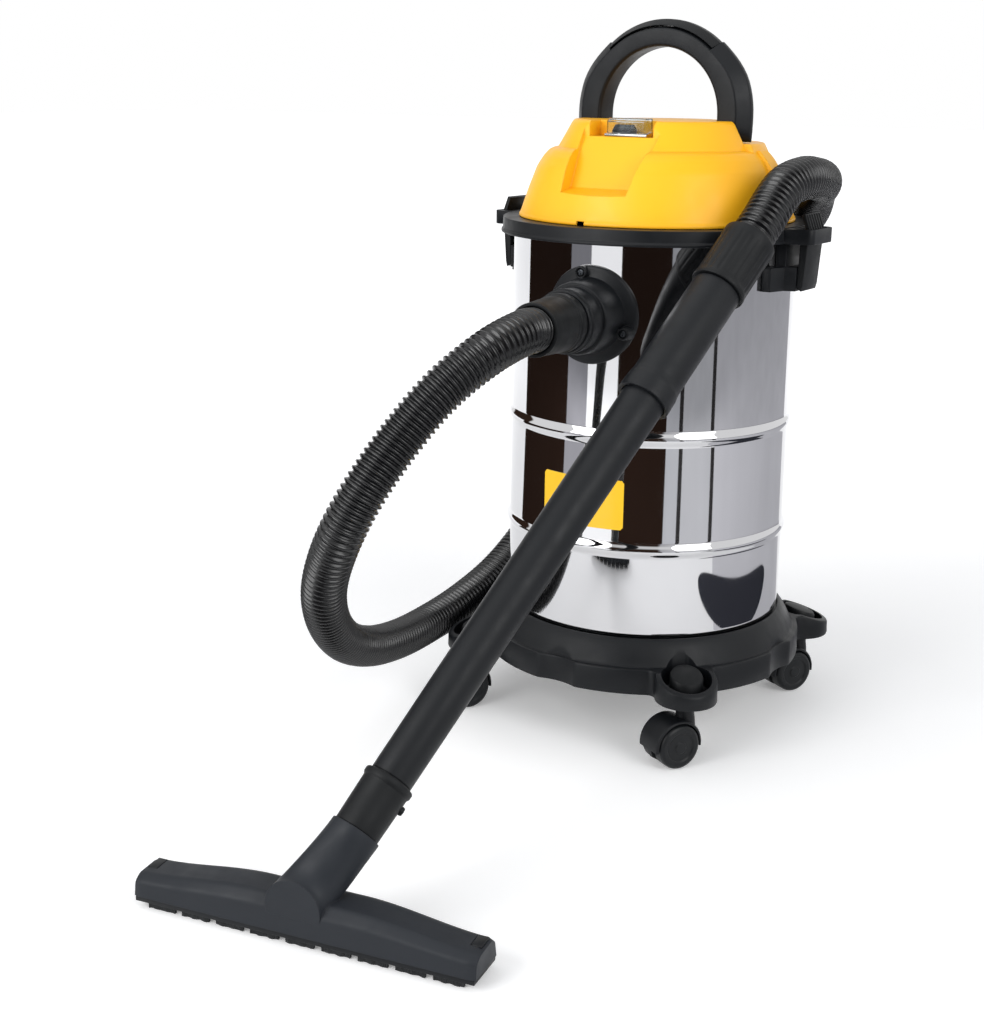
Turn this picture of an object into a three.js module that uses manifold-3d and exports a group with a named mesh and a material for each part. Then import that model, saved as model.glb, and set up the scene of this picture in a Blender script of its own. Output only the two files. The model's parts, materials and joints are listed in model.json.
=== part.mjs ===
// Shop vacuum with a stainless tank, clip-on motor head, rolling dolly, hose, wand and floor nozzle.
// Millimetres, +Z up, the floor at z = 0, the front of the machine facing -Y.
import * as THREE from "three";
import { mergeVertices } from "three/addons/utils/BufferGeometryUtils.js";
import Module from "manifold-3d";

const wasm = await Module();
wasm.setup();

// ---------- driving dimensions ----------
const GAP = 0.3; // clearance left between pieces that touch
const RAD = Math.PI / 180;

// Tank axis measured from the middle of the whole object's footprint.
const AXIS_X = -3.863;
const AXIS_Y = 254.17;

// Tank.
const TANK_R = 152.5;
const TANK_WALL = 1.3;
const TANK_BOTTOM = 119;
const TANK_TOP = 539;
const TANK_CORNER = 6;
const BEAD_Z = [217, 336];
const BEAD_HEIGHT = 7;
const BEAD_OUT = 3;

// Dolly with four lobes, one over each caster.
const DOLLY_BOTTOM = 67;
const DOLLY_R = 178;
const LOBE_AT_R = 191.6;
const LOBE_R = 32.5;
const LOBE_TOP = 93; // at the lobe's centre: its top slopes down outwards
const LOBE_TILT = 17.9;
const POCKET_R = 26.5;
const POCKET_FLOOR = 74;
const CAP_R = 17.5;
const STEM_TOP = 86;
const LOBE_ANGLES = [43, 133, 223, 313]; // from the front, towards +X
const REST_PAD_R = 60;
const REST_PAD_Z = 108;

// Casters.
const WHEEL_R = 24;
const WHEEL_WIDTH = 40;
const CASTER_TRAIL = 17;
const CASTER_TRAIL_ANGLE = -28; // all four have rolled the same way

// Head base ring and its ears.
const RING_BOTTOM = 532;
const RING_TOP = 548;
const RING_R = 166.5;
const EAR_REACH = 192;
const EAR_HALF = 27;

// Dome over the motor.
const DOME_FOOT = RING_TOP + GAP;
const DOME_WALL = 2.5;
const DECK_Z = 628;
const TIER_TOP = 650;
const TIER_R = 88.5;
const HUMP_R = 62;

// Carry handle.
const FAN_EYE_R = 20; // the float seats against this hole and shuts it
const HANDLE_Y = 8;
const HANDLE_PIVOT_Z = 645;
const HANDLE_ARC_Z = 655;
const HANDLE_INNER = 69;
const HANDLE_OUTER = 99;
const HANDLE_HALF = 16;
const HANDLE_PIN_R = 2.5;
const GRIP_ANGLE = 42;

// Inlet on the tank, a few degrees round from the middle of the front.
const INLET_ANGLE = 4;
const INLET_Z = 461;
const FLANGE_R = 50;
const INLET_BORE = 22;

// Latches.
const LATCH_PIVOT_X = 181;
const LATCH_PIVOT_Z = 541;
const LATCH_HALF = 19;

// Hose, wand and nozzle.
const HOSE_R = 22;
const HOSE_STEPS = 40;
const CUFF_END = 274;
const WAND_START = new THREE.Vector3(58.3, -611.1, 77.9);
const WAND_DIRECTION = new THREE.Vector3(99, 486, 448).normalize();
const WAND_CUFF_END = 686;
const BUTTON_SIDE = new THREE.Vector3(0.732, 0.319, -0.508).normalize(); // square to the wand
const NOZZLE_ANGLE = 10.4;
const NOZZLE_LEFT = new THREE.Vector2(-116, -685);
const NOZZLE_LENGTH = 321;
const NOZZLE_DEPTH = 44;
const NOZZLE_BOTTOM = 8;

// ---------- materials ----------
function finish(color, roughness, metalness = 0, more = {}) {
  return new THREE.MeshStandardMaterial({ color, roughness, metalness, ...more });
}
const steel = () => finish("#c9cbcd", 0.12, 1);
const darkSteel = () => finish("#8b8e92", 0.3, 1);
const yellow = () => finish("#f7b917", 0.5);
const black = () => finish("#1d2024", 0.55);
const softBlack = () => finish("#24282c", 0.7);
const hoseBlack = () => finish("#141618", 0.35);
const grey = () => finish("#4a4e52", 0.6);

// ---------- geometry helpers ----------
const group = new THREE.Group();
group.name = "shop_vacuum";

// A closed triangle geometry as a manifold solid, turned outward if its profile ran the other way.
function solid(geometry) {
  const bare = geometry.clone();
  bare.deleteAttribute("normal");
  bare.deleteAttribute("uv");
  const merged = mergeVertices(bare, 1e-4);
  const build = (triVerts) =>
    new wasm.Manifold(
      new wasm.Mesh({
        numProp: 3,
        vertProperties: new Float32Array(merged.attributes.position.array),
        triVerts,
      }),
    );
  const tris = new Uint32Array(merged.index.array);
  const made = build(tris);
  if (made.volume() >= 0) return made;
  for (let i = 0; i < tris.length; i += 3) {
    [tris[i + 1], tris[i + 2]] = [tris[i + 2], tris[i + 1]];
  }
  return build(tris);
}

function join(...parts) {
  return parts.reduce((a, b) => a.add(b));
}

function cut(body, ...tools) {
  return tools.reduce((a, b) => a.subtract(b), body);
}

function geometryOf(body) {
  const out = body.getMesh();
  const geometry = new THREE.BufferGeometry();
  const positions = new Float32Array(out.vertProperties);
  geometry.setAttribute("position", new THREE.BufferAttribute(positions, 3));
  geometry.setIndex(new THREE.BufferAttribute(new Uint32Array(out.triVerts), 1));
  return geometry;
}

// The same body after a three.js matrix.
function moved(body, matrix) {
  return solid(geometryOf(body).applyMatrix4(matrix));
}

function add(name, body, material) {
  const geometry = geometryOf(body);
  geometry.computeVertexNormals();
  const mesh = new THREE.Mesh(geometry, material);
  mesh.name = name;
  group.add(mesh);
}

function box(x0, x1, y0, y1, z0, z1) {
  const g = new THREE.BoxGeometry(x1 - x0, y1 - y0, z1 - z0);
  return solid(g.translate((x0 + x1) / 2, (y0 + y1) / 2, (z0 + z1) / 2));
}

// A solid of revolution about Z from [radius, z] pairs.
function turned(points, sides = 28) {
  const profile = points.map(([r, z]) => new THREE.Vector2(r, z));
  const g = new THREE.LatheGeometry(profile, sides);
  return solid(g.rotateX(Math.PI / 2));
}

// A closed ring of revolution: the profile ends where it starts.
function ring(points, sides = 28) {
  return turned([...points, points[0]], sides);
}

// A round bar between two points, with its own radius at each end.
function rod(from, to, r0, r1 = r0, sides = 16) {
  const along = new THREE.Vector3().subVectors(to, from);
  const g = new THREE.CylinderGeometry(r1, r0, along.length(), sides);
  g.translate(0, along.length() / 2, 0);
  const up = new THREE.Vector3(0, 1, 0);
  g.applyQuaternion(new THREE.Quaternion().setFromUnitVectors(up, along.normalize()));
  return solid(g.translate(from.x, from.y, from.z));
}

function pillar(x, y, z0, z1, r0, r1 = r0, sides = 16) {
  return rod(new THREE.Vector3(x, y, z0), new THREE.Vector3(x, y, z1), r0, r1, sides);
}

// A closed ring turned about any axis: the pairs are [radius, distance along the axis from the start].
function ringAlong(points, start, direction, sides = 18) {
  const profile = [...points, points[0]].map(([r, d]) => new THREE.Vector2(r, d));
  const g = new THREE.LatheGeometry(profile, sides);
  const up = new THREE.Vector3(0, 1, 0);
  g.applyQuaternion(new THREE.Quaternion().setFromUnitVectors(up, direction));
  return solid(g.translate(start.x, start.y, start.z));
}

// An outline in X and Y, drawn up from z0 to z1.
function upright(points, z0, z1) {
  const shape = new THREE.Shape(points.map(([x, y]) => new THREE.Vector2(x, y)));
  const g = new THREE.ExtrudeGeometry(shape, { depth: z1 - z0, bevelEnabled: false });
  return solid(g.translate(0, 0, z0));
}

// An outline in X and Z, drawn along Y from y0 to y1.
function sideways(points, y0, y1) {
  const shape = new THREE.Shape(points.map(([x, z]) => new THREE.Vector2(x, z)));
  const g = new THREE.ExtrudeGeometry(shape, { depth: y1 - y0, bevelEnabled: false });
  return solid(g.rotateX(Math.PI / 2).translate(0, y1, 0));
}

// An outline in Y and Z, drawn along X from x0 to x1; lean moves the x1 end by lean per millimetre of z.
function across(points, x0, x1, lean = 0, leanFrom = 0) {
  const shape = new THREE.Shape(points.map(([y, z]) => new THREE.Vector2(y, z)));
  const g = new THREE.ExtrudeGeometry(shape, { depth: x1 - x0, bevelEnabled: false });
  g.applyMatrix4(new THREE.Matrix4().set(0, 0, 1, x0, 1, 0, 0, 0, 0, 1, 0, 0, 0, 0, 0, 1));
  const p = g.attributes.position;
  for (let i = 0; i < p.count; i++) {
    if (p.getX(i) > (x0 + x1) / 2) {
      p.setX(i, p.getX(i) + lean * (p.getZ(i) - leanFrom));
    }
  }
  return solid(g);
}

// The point at a radius and an angle from the front (-Y) towards +X.
function around(radius, degrees, z) {
  const a = degrees * RAD;
  return new THREE.Vector3(radius * Math.sin(a), -radius * Math.cos(a), z);
}

// A body turned about the drum's axis, then shifted to (x, y).
function turnZ(body, degrees, x = 0, y = 0) {
  const matrix = new THREE.Matrix4().makeRotationZ(degrees * RAD);
  return moved(body, matrix.setPosition(x, y, 0));
}

function mirrorX(body) {
  return moved(body, new THREE.Matrix4().makeScale(-1, 1, 1));
}

// Points of an arc of radius r about (cx, cy), from a0 to a1 degrees.
function arc(cx, cy, r, a0, a1, steps) {
  return Array.from({ length: steps + 1 }, (_, i) => {
    const a = (a0 + ((a1 - a0) * i) / steps) * RAD;
    return [cx + r * Math.cos(a), cy + r * Math.sin(a)];
  });
}

// ---------- tank ----------
function tankProfile(offset) {
  const r = TANK_R - offset;
  const floor = TANK_BOTTOM + offset;
  const points = [
    [0, floor],
    [r - TANK_CORNER, floor],
    [r, floor + TANK_CORNER],
  ];
  for (const z of offset ? [] : BEAD_Z) {
    points.push([r, z - BEAD_HEIGHT], [r + BEAD_OUT, z], [r, z + BEAD_HEIGHT]);
  }
  points.push([r, TANK_TOP]);
  return points;
}

function inletAxisPoint(radius, z = INLET_Z) {
  return around(radius, INLET_ANGLE, z);
}

function tank() {
  const outline = [...tankProfile(0), ...tankProfile(TANK_WALL).reverse()];
  const hole = rod(inletAxisPoint(120), inletAxisPoint(190), INLET_BORE + 6, INLET_BORE + 6, 20);
  add("tank_shell", cut(turned(outline, 36), hole), steel());
}

// A generic plain label on the front, following the tank.
function label() {
  const inner = TANK_R + 0.25;
  const centre = 2.8 - 90;
  const half = 18.3;
  const outline = [
    ...arc(0, 0, inner, centre - half, centre + half, 6),
    ...arc(0, 0, inner + 0.6, centre + half, centre - half, 6),
  ];
  const plate = upright(outline, 236, 294);
  add("tank_label", plate, finish("#f2bd1d", 0.45));
}

// ---------- inlet ----------
function inlet() {
  const clearTank = pillar(0, 0, 380, 540, TANK_R + 0.6, TANK_R + 0.6, 36);
  const bore = INLET_BORE + 4;
  const outline = [
    [bore, 140],
    [FLANGE_R, 140],
    [FLANGE_R, 159],
    [FLANGE_R - 5, 162],
    [39, 162],
    [35, 190],
    [32, 190],
    [31, 216],
    [bore, 216],
  ];
  const outward = inletAxisPoint(1, 0).normalize();
  let body = cut(ringAlong(outline, inletAxisPoint(0), outward, 20), clearTank);
  const side = new THREE.Vector3(-outward.y, outward.x, 0);
  [100, 220, 340].forEach((degrees, i) => {
    const a = degrees * RAD;
    const offset = side.clone().multiplyScalar(43.5 * Math.cos(a)).setZ(43.5 * Math.sin(a));
    const at = (r) => inletAxisPoint(r).add(offset);
    body = join(body, rod(at(156), at(163.5), 6.5, 5.5, 10));
    body = cut(body, rod(at(160.5), at(170), 4.4, 4.4, 8));
    body = cut(body, rod(at(140), at(170), 2.4, 2.4, 8));
    const head = rod(at(160.8), at(163.2), 3.7, 3.2, 8);
    const shank = rod(at(154.5), at(161), 1.8, 1.8, 8);
    add(`inlet_screw_${i + 1}`, join(head, shank), darkSteel());
  });
  add("inlet_flange", body, black());

  // Inside, a hood that throws the dirty air downwards.
  const inside = 149.5;
  const mouth = rod(inletAxisPoint(inside), inletAxisPoint(112), 31, 31, 24);
  const hollow = rod(inletAxisPoint(inside + 9), inletAxisPoint(115), 28, 28, 24);
  const spout = box(-31, 31, -152, -90, 405, INLET_Z);
  const under = turnZ(cut(spout, box(-28, 28, -160, -93, 400, INLET_Z + 1)), INLET_ANGLE);
  const wallIn = TANK_R - TANK_WALL - 0.9;
  const wallClear = ring([[wallIn, 380], [200, 380], [200, 540], [wallIn, 540]], 40);
  const lid = cut(mouth, hollow, turnZ(box(-27.9, 27.9, -160, -93, 400, INLET_Z), INLET_ANGLE));
  add("inlet_deflector", cut(join(lid, cut(under, hollow)), wallClear), black());
}

// ---------- latches ----------
function latchCatch() {
  const inner = TANK_R + 0.5;
  const spread = 16.5;
  const low = upright(
    [
      ...arc(0, 0, inner, -spread, spread, 8),
      [156, 43],
      [162, 24],
      [173.5, 20],
      [173.5, -20],
      [162, -24],
      [156, -43],
    ],
    484,
    508,
  );
  const post = upright([...arc(0, 0, inner, -8.2, 8.2, 4), [162, 21], [162, -21]], 507, 531.5);
  return join(low, post);
}

function latchLever() {
  const outline = [
    [174.3, 487],
    [179, 484],
    [180.5, 490],
    [183.8, 536],
    [186.8, 541],
    [178.8, 562],
    [175.4, 560.6],
    [180.4, 546],
    [177.6, 541],
    [175.2, 530],
  ];
  const arm = sideways(outline, -LATCH_HALF, LATCH_HALF);
  const pinHole = rod(
    new THREE.Vector3(LATCH_PIVOT_X, -30, LATCH_PIVOT_Z),
    new THREE.Vector3(LATCH_PIVOT_X, 30, LATCH_PIVOT_Z),
    2.3,
    2.3,
    12,
  );
  let body = arm;
  // Grip ribs on the outer face of the thumb tab.
  for (let i = 0; i < 6; i++) {
    const y = -15 + i * 6;
    const rib = sideways([[184.8, 543.6], [178.2, 561], [180.4, 561], [187, 543.6]], y - 1.1, y + 1.1);
    body = join(body, rib);
  }
  return cut(body, pinHole);
}

function latches() {
  const pin = rod(
    new THREE.Vector3(LATCH_PIVOT_X, -24, LATCH_PIVOT_Z),
    new THREE.Vector3(LATCH_PIVOT_X, 24, LATCH_PIVOT_Z),
    2,
    2,
    12,
  );
  const pieces = [
    ["latch_catch", latchCatch(), black],
    ["latch_lever", latchLever(), softBlack],
    ["latch_pin", pin, darkSteel],
  ];
  for (const [name, body, material] of pieces) {
    add(`${name}_right`, body, material());
    add(`${name}_left`, mirrorX(body), material());
  }
}

// ---------- dolly and casters ----------
function dolly() {
  const plateTop = TANK_BOTTOM - 0.6;
  let body = turned(
    [
      [0, plateTop],
      [TANK_R + 0.8, plateTop],
      [TANK_R + 0.8, 121.5],
      [TANK_R + 3.5, 121.5],
      [172, 102],
      [DOLLY_R - 1, 95],
      [DOLLY_R, DOLLY_BOTTOM],
      [DOLLY_R - 8, DOLLY_BOTTOM],
      [DOLLY_R - 9, 92],
      [156, 112],
      [REST_PAD_R, 112],
      [REST_PAD_R, REST_PAD_Z],
      [0, REST_PAD_Z],
    ],
    32,
  );
  for (const degrees of LOBE_ANGLES) {
    const c = around(LOBE_AT_R, degrees, 0);
    const dent = around(DOLLY_R + 54, degrees + 45, 0);
    const lobe = pillar(c.x, c.y, DOLLY_BOTTOM, 112, LOBE_R, LOBE_R, 24);
    body = cut(body, pillar(dent.x, dent.y, 50, 99, 60, 60, 28));
    body = join(body, cut(lobe, aboveLobe(degrees, 0)));
  }
  for (const degrees of LOBE_ANGLES) {
    const c = around(LOBE_AT_R, degrees, 0);
    body = cut(
      body,
      pillar(c.x, c.y, POCKET_FLOOR, 140, POCKET_R, POCKET_R, 20),
      pillar(c.x, c.y, 50, 140, 6.4, 6.4, 10),
    );
  }
  add("dolly_base", body, black());
  LOBE_ANGLES.forEach((degrees, i) => {
    const c = around(LOBE_AT_R, degrees, 0);
    const plug = pillar(c.x, c.y, POCKET_FLOOR + GAP, 112, CAP_R, CAP_R, 18);
    const socket = pillar(c.x, c.y, 50, STEM_TOP + 0.6, 6.4, 6.4, 10);
    add(`caster_cap_${i + 1}`, cut(plug, socket, aboveLobe(degrees, 3)), softBlack());
  });
}

// Everything over the tilted top of a lobe, or over a plane raised a little from it.
function aboveLobe(degrees, raised) {
  const g = new THREE.BoxGeometry(140, 160, 80).translate(0, 0, 40);
  g.rotateX(LOBE_TILT * RAD).translate(0, -LOBE_AT_R, LOBE_TOP + raised);
  return solid(g.rotateZ(degrees * RAD));
}

function caster(index) {
  const c = around(LOBE_AT_R, LOBE_ANGLES[index], 0);
  const trail = around(CASTER_TRAIL, CASTER_TRAIL_ANGLE, 0);
  const hub = new THREE.Vector3(c.x + trail.x, c.y + trail.y, WHEEL_R);
  const axle = around(1, CASTER_TRAIL_ANGLE + 90, 0);
  const at = (d, z = WHEEL_R) => hub.clone().addScaledVector(axle, d).setZ(z);
  const half = WHEEL_WIDTH / 2;

  // Hood: a slice of drum over the wheels, a web between them and a stem up into the lobe.
  const shell = rod(at(-half + 4), at(half - 4), 28, 28, 14);
  const sideCut = (d0, d1) => rod(at(d0), at(d1), 25.6, 25.6, 14);
  const floorAt = (z) => turnZ(box(-60, 60, -60, 60, -40, z), CASTER_TRAIL_ANGLE, hub.x, hub.y);
  const top = cut(join(shell, pillar(c.x, c.y, 30, DOLLY_BOTTOM - 0.5, 9.5, 9.5, 14)), floorAt(22));
  const web = cut(rod(at(-3), at(3), 26.3, 26.3, 14), floorAt(12));
  const drum = join(cut(top, sideCut(-half - 12, half + 12)), web);
  const stem = pillar(c.x, c.y, DOLLY_BOTTOM - 1, STEM_TOP, 5.8, 5.8, 10);
  const axleHole = rod(at(-30), at(30), 4.4, 4.4, 10);
  add(`caster_hood_${index + 1}`, cut(join(drum, stem), axleHole), black());

  // Twin wheel: two discs joined by their axle, turned as one profile and laid on its side.
  const profile = [
    [0, -half],
    [WHEEL_R - 3, -half],
    [WHEEL_R, -half + 2],
    [WHEEL_R, -3.6],
    [4, -3.6],
    [4, 3.6],
    [WHEEL_R, 3.6],
    [WHEEL_R, half - 2],
    [WHEEL_R - 3, half],
    [0, half],
  ];
  const outline = profile.map(([r, d]) => new THREE.Vector2(r, d));
  const wheel = new THREE.LatheGeometry(outline, 16).rotateZ((CASTER_TRAIL_ANGLE + 90) * RAD);
  add(`caster_wheel_${index + 1}`, solid(wheel.translate(hub.x, hub.y, WHEEL_R)), softBlack());
}

// ---------- head ----------
function headBase() {
  let body = ring(
    [
      [FAN_EYE_R, 542],
      [147, 542],
      [147, RING_BOTTOM],
      [149.5, RING_BOTTOM],
      [149.5, 541.6],
      [156.5, 541.6],
      [156.5, RING_BOTTOM],
      [RING_R, RING_BOTTOM],
      [RING_R, 535],
      [164.5, RING_TOP],
      [FAN_EYE_R, RING_TOP],
    ],
    32,
  );
  const ear = upright(
    [
      [158, -EAR_HALF - 5],
      [EAR_REACH - 4, -EAR_HALF],
      [EAR_REACH, -EAR_HALF + 4],
      [EAR_REACH, EAR_HALF - 4],
      [EAR_REACH - 4, EAR_HALF],
      [158, EAR_HALF + 5],
    ],
    RING_BOTTOM,
    RING_TOP - 1,
  );
  const slot = box(168.5, 188.6, -LATCH_HALF - 1, LATCH_HALF + 1, 520, 560);
  const bore = rod(
    new THREE.Vector3(LATCH_PIVOT_X, -24.4, LATCH_PIVOT_Z),
    new THREE.Vector3(LATCH_PIVOT_X, 24.4, LATCH_PIVOT_Z),
    2.3,
    2.3,
    12,
  );
  const gusset = across([[EAR_HALF - 8, 532.1], [EAR_HALF - 1, 532.1], [EAR_HALF - 8, 517]], 163.5, 166.4);
  body = join(body, ear, mirrorX(ear), gusset, mirrorX(gusset));
  body = cut(body, slot, bore, mirrorX(slot), mirrorX(bore));
  add("head_base", body, black());
  const seal = ring([[150.3, 539.3], [155.5, 539.3], [155.5, 541.2], [150.3, 541.2]], 40);
  add("head_gasket", seal, finish("#2b2b2b", 0.9));
}

function domeForm(inset) {
  const foot = inset ? DOME_FOOT - 5 : DOME_FOOT;
  const back = HANDLE_Y - HANDLE_HALF - 1.5;
  const low = turned(
    [
      [0, foot],
      [147.5 - inset, foot],
      [147.5 - inset, 551.5],
      [143.5 - inset, 560],
      [137 - inset, 580],
      [122 - inset, 612],
      [110 - inset, 621 - inset],
      [0, 621 - inset],
    ],
    30,
  );
  const tier = cut(
    turned(
      [
        [0, 610 - inset],
        [101 - inset, 610 - inset],
        [TIER_R + 1 - inset, TIER_TOP - 3 - inset],
        [TIER_R - 2 - inset, TIER_TOP - inset],
        [0, TIER_TOP - inset],
      ],
      28,
    ),
    box(-150, 150, back - inset, 150, 590, 660),
  );
  const deck = cut(
    turned(
      [
        [0, 610 - inset],
        [120 - inset, 610 - inset],
        [111 - inset, DECK_Z - inset],
        [0, DECK_Z - inset],
      ],
      28,
    ),
    box(-150, 150, -150, back + inset, 590, 660),
  );
  const hump = cut(
    pillar(0, HANDLE_Y, 610, TIER_TOP - inset, HUMP_R + 1 - inset, HUMP_R - inset, 24),
    box(-150, 150, -150, back - 3.5, 590, 660),
  );
  // Shoulders that swell out beside the handle's legs.
  const shoulder = sideways(
    [
      [100, foot],
      [146 - inset, foot],
      [143.5 - inset, 575],
      [136 - inset, 600],
      [118 - inset, 621.5 - inset],
      [100, 621.5 - inset],
    ],
    inset - 2,
    16 - inset,
  );
  const niche = across(
    [[-64 + inset, 700], [-64 + inset, 634 - inset], [-140, 634 - inset], [-140, 700]],
    -35 - inset,
    39 + inset,
  );
  const recess = across(
    [
      [-86 + inset, 700],
      [-86 + inset, 634 - inset],
      [-96 + inset, 618],
      [-112 + inset, 583 - inset],
      [-160, 573 - inset],
      [-160, 700],
    ],
    -41 - inset,
    35 + inset,
    0.19,
    577,
  );
  return cut(join(low, tier, deck, hump, shoulder, mirrorX(shoulder)), niche, recess);
}

function dome() {
  let shell = cut(domeForm(0), domeForm(DOME_WALL));
  // Pivot bores for the handle, the rear grille opening, the cord gland bore and the small front notch.
  shell = cut(
    shell,
    rod(new THREE.Vector3(-80, HANDLE_Y, HANDLE_PIVOT_Z), new THREE.Vector3(80, HANDLE_Y, HANDLE_PIVOT_Z), 2.9, 2.9, 12),
    box(-36, 36, 120, 160, 562, 596),
    rod(around(120, 140, 563), around(160, 140, 563), 7.8, 7.8, 12),
    turnZ(box(-4.5, 4.5, -160, -138, 540, 552.5), -3),
  );
  add("motor_dome", shell, yellow());

  // Louvred grille over the rear opening.
  const lean = (z) => 143.5 - (z - 560) * 0.335;
  let grille = across(
    [[lean(558) - 4, 558], [lean(558) + 2.2, 558], [lean(600) + 2.2, 600], [lean(600) - 4, 600]],
    -35.6,
    35.6,
  );
  const curve = ring([[lean(540) + 2.4, 540], [190, 540], [190, 620], [lean(620) + 2.4, 620]]);
  grille = cut(grille, curve, box(-40, 40, 100, 160, 540, 562.4), box(-40, 40, 100, 160, 595.6, 620));
  for (let i = 0; i < 5; i++) {
    const z = 566 + i * 6;
    grille = cut(grille, box(-31, -2, 100, 160, z, z + 2.6), box(2, 31, 100, 160, z, z + 2.6));
  }
  add("exhaust_grille", grille, black());
  const glandOutline = [[3.6, 128], [7, 128], [7, 148.4], [9.4, 148.4], [6.5, 158], [3.6, 158]];
  const out = around(1, 140, 0);
  add("cord_gland", ringAlong(glandOutline, new THREE.Vector3(0, 0, 563), out, 12), softBlack());
}

// ---------- carry handle ----------
function handleSection(outer) {
  return [
    [HANDLE_INNER, -HANDLE_HALF + 3],
    [HANDLE_INNER + 2, -HANDLE_HALF],
    [outer - 11.5, -HANDLE_HALF],
    [outer, -3],
    [outer, 3],
    [outer - 11.5, HANDLE_HALF],
    [HANDLE_INNER + 2, HANDLE_HALF],
    [HANDLE_INNER, HANDLE_HALF - 3],
  ];
}

// A section in radius and depth swept once round the Y axis of the handle's arch.
function archRing(section) {
  const profile = [...section, section[0]].map(([r, y]) => new THREE.Vector2(r, y));
  const g = new THREE.LatheGeometry(profile, 38);
  return solid(g.translate(0, HANDLE_Y, HANDLE_ARC_Z));
}

function wedge(degrees) {
  const reach = 160;
  const a = degrees * RAD;
  const points = [
    [0, HANDLE_ARC_Z],
    [reach * Math.sin(a), HANDLE_ARC_Z + reach * Math.cos(a)],
    [0, HANDLE_ARC_Z + reach],
    [-reach * Math.sin(a), HANDLE_ARC_Z + reach * Math.cos(a)],
  ];
  return sideways(points, -60, 60);
}

function handle() {
  const arch = cut(archRing(handleSection(HANDLE_OUTER)), box(-150, 150, -60, 60, 500, HANDLE_ARC_Z));
  const legOutline = handleSection(HANDLE_OUTER).map(([x, y]) => [x, y + HANDLE_Y]);
  const leg = upright(legOutline, HANDLE_PIVOT_Z, HANDLE_ARC_Z + 0.01);
  const axisAt = (x) => new THREE.Vector3(x, HANDLE_Y, HANDLE_PIVOT_Z);
  const round = rod(axisAt(60), axisAt(110), HANDLE_HALF, HANDLE_HALF, 28);
  const foot = upright(legOutline, HANDLE_PIVOT_Z - HANDLE_HALF, HANDLE_PIVOT_Z + 0.01).intersect(round);
  const bothLegs = join(leg, foot);
  const seat = archRing([
    [HANDLE_OUTER - 9.3, -20],
    [HANDLE_OUTER + 20, -20],
    [HANDLE_OUTER + 20, 20],
    [HANDLE_OUTER - 9.3, 20],
  ]).intersect(wedge(GRIP_ANGLE));
  const pinBore = rod(axisAt(-92), axisAt(92), HANDLE_PIN_R + 0.3, HANDLE_PIN_R + 0.3, 12);
  const body = cut(join(arch, bothLegs, mirrorX(bothLegs)), seat, pinBore);
  add("carry_handle", body, black());

  const pad = archRing([
    [HANDLE_OUTER - 9, -12.6],
    [HANDLE_OUTER - 2, -4],
    [HANDLE_OUTER - 2, 4],
    [HANDLE_OUTER - 9, 12.6],
  ]).intersect(wedge(GRIP_ANGLE - 0.4));
  add("handle_grip", pad, softBlack());

  const pin = rod(axisAt(57), axisAt(90), HANDLE_PIN_R, HANDLE_PIN_R, 12);
  add("handle_pin_right", pin, darkSteel());
  add("handle_pin_left", mirrorX(pin), darkSteel());
}

// ---------- switch ----------
function switchGear() {
  const floor = 634 + GAP;
  const outline = [[-84, floor], [-66, floor], [-66, floor + 5], [-84, floor + 2.5]];
  const frame = across(outline, -19, 30);
  const well = box(-12, 12, -82, -68, floor + 0.8, 650);
  add("switch_plate", cut(frame, well), finish("#b9bcbf", 0.25, 0.6));
  const rocker = across(
    [[-81.3, floor + 3.5], [-68.7, floor + 3.5], [-68.7, floor + 8], [-75, floor + 12.2], [-81.3, floor + 6.5]],
    -11.3,
    11.3,
  );
  add("switch_rocker", rocker, finish("#33373b", 0.45));
  const hoodOuter = across([[-83.6, floor + 3.2], [-66.4, floor + 5.6], [-66.4, 652.5], [-80, 652.5], [-83.6, 649]], -16.5, 27.5);
  const hoodInner = across([[-82.4, floor + 1], [-67.6, floor + 1], [-67.6, 651.4], [-79.4, 651.4], [-82.4, 648.5]], -15.3, 26.3);
  add("switch_cover", cut(hoodOuter, hoodInner), finish("#eef2f4", 0.1, 0, { transparent: true, opacity: 0.35 }));
}

// ---------- motor, fan, float and filter ----------
function motor() {
  const shellOuter = join(pillar(0, 0, 548.3, 574, 80, 80, 28), pillar(0, 0, 574, 577, 80, 74, 28));
  const shellInner = pillar(0, 0, 540, 571, 77, 77, 28);
  const vents = [0, 90, 180, 270].map((a) => turnZ(box(-14, 14, -90, -70, 553, 567), a));
  const neck = pillar(0, 0, 560, 590, 9, 9, 16);
  add("fan_housing", cut(shellOuter, shellInner, neck, ...vents), grey());

  let wheel = join(pillar(0, 0, 551, 553, 66, 66, 28), pillar(0, 0, 551, 569, 10, 10, 12));
  for (let i = 0; i < 8; i++) {
    wheel = join(wheel, turnZ(box(-1, 1, -62, -8, 552.5, 567), i * 45));
  }
  wheel = cut(wheel, pillar(0, 0, 545, 575, 4.3, 4.3, 12));
  add("impeller", wheel, finish("#a9adb0", 0.4, 0.8));

  const can = cut(
    join(pillar(0, 0, 577.3, 643, 44, 44, 20), pillar(0, 0, 577.3, 581, 56, 56, 20)),
    pillar(0, 0, 584, 637, 40, 40, 20),
    pillar(0, 0, 570, 640.5, 6.4, 6.4, 12),
    box(-60, 60, -8, 8, 622, 634),
  );
  add("motor_can", can, darkSteel());
  const rotor = join(
    pillar(0, 0, 549.5, 639.5, 4, 4, 12),
    pillar(0, 0, 590, 620, 28, 28, 24),
    pillar(0, 0, 622, 632, 14, 14, 16),
  );
  add("motor_rotor", rotor, finish("#9a5b33", 0.4, 0.7));
}

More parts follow.
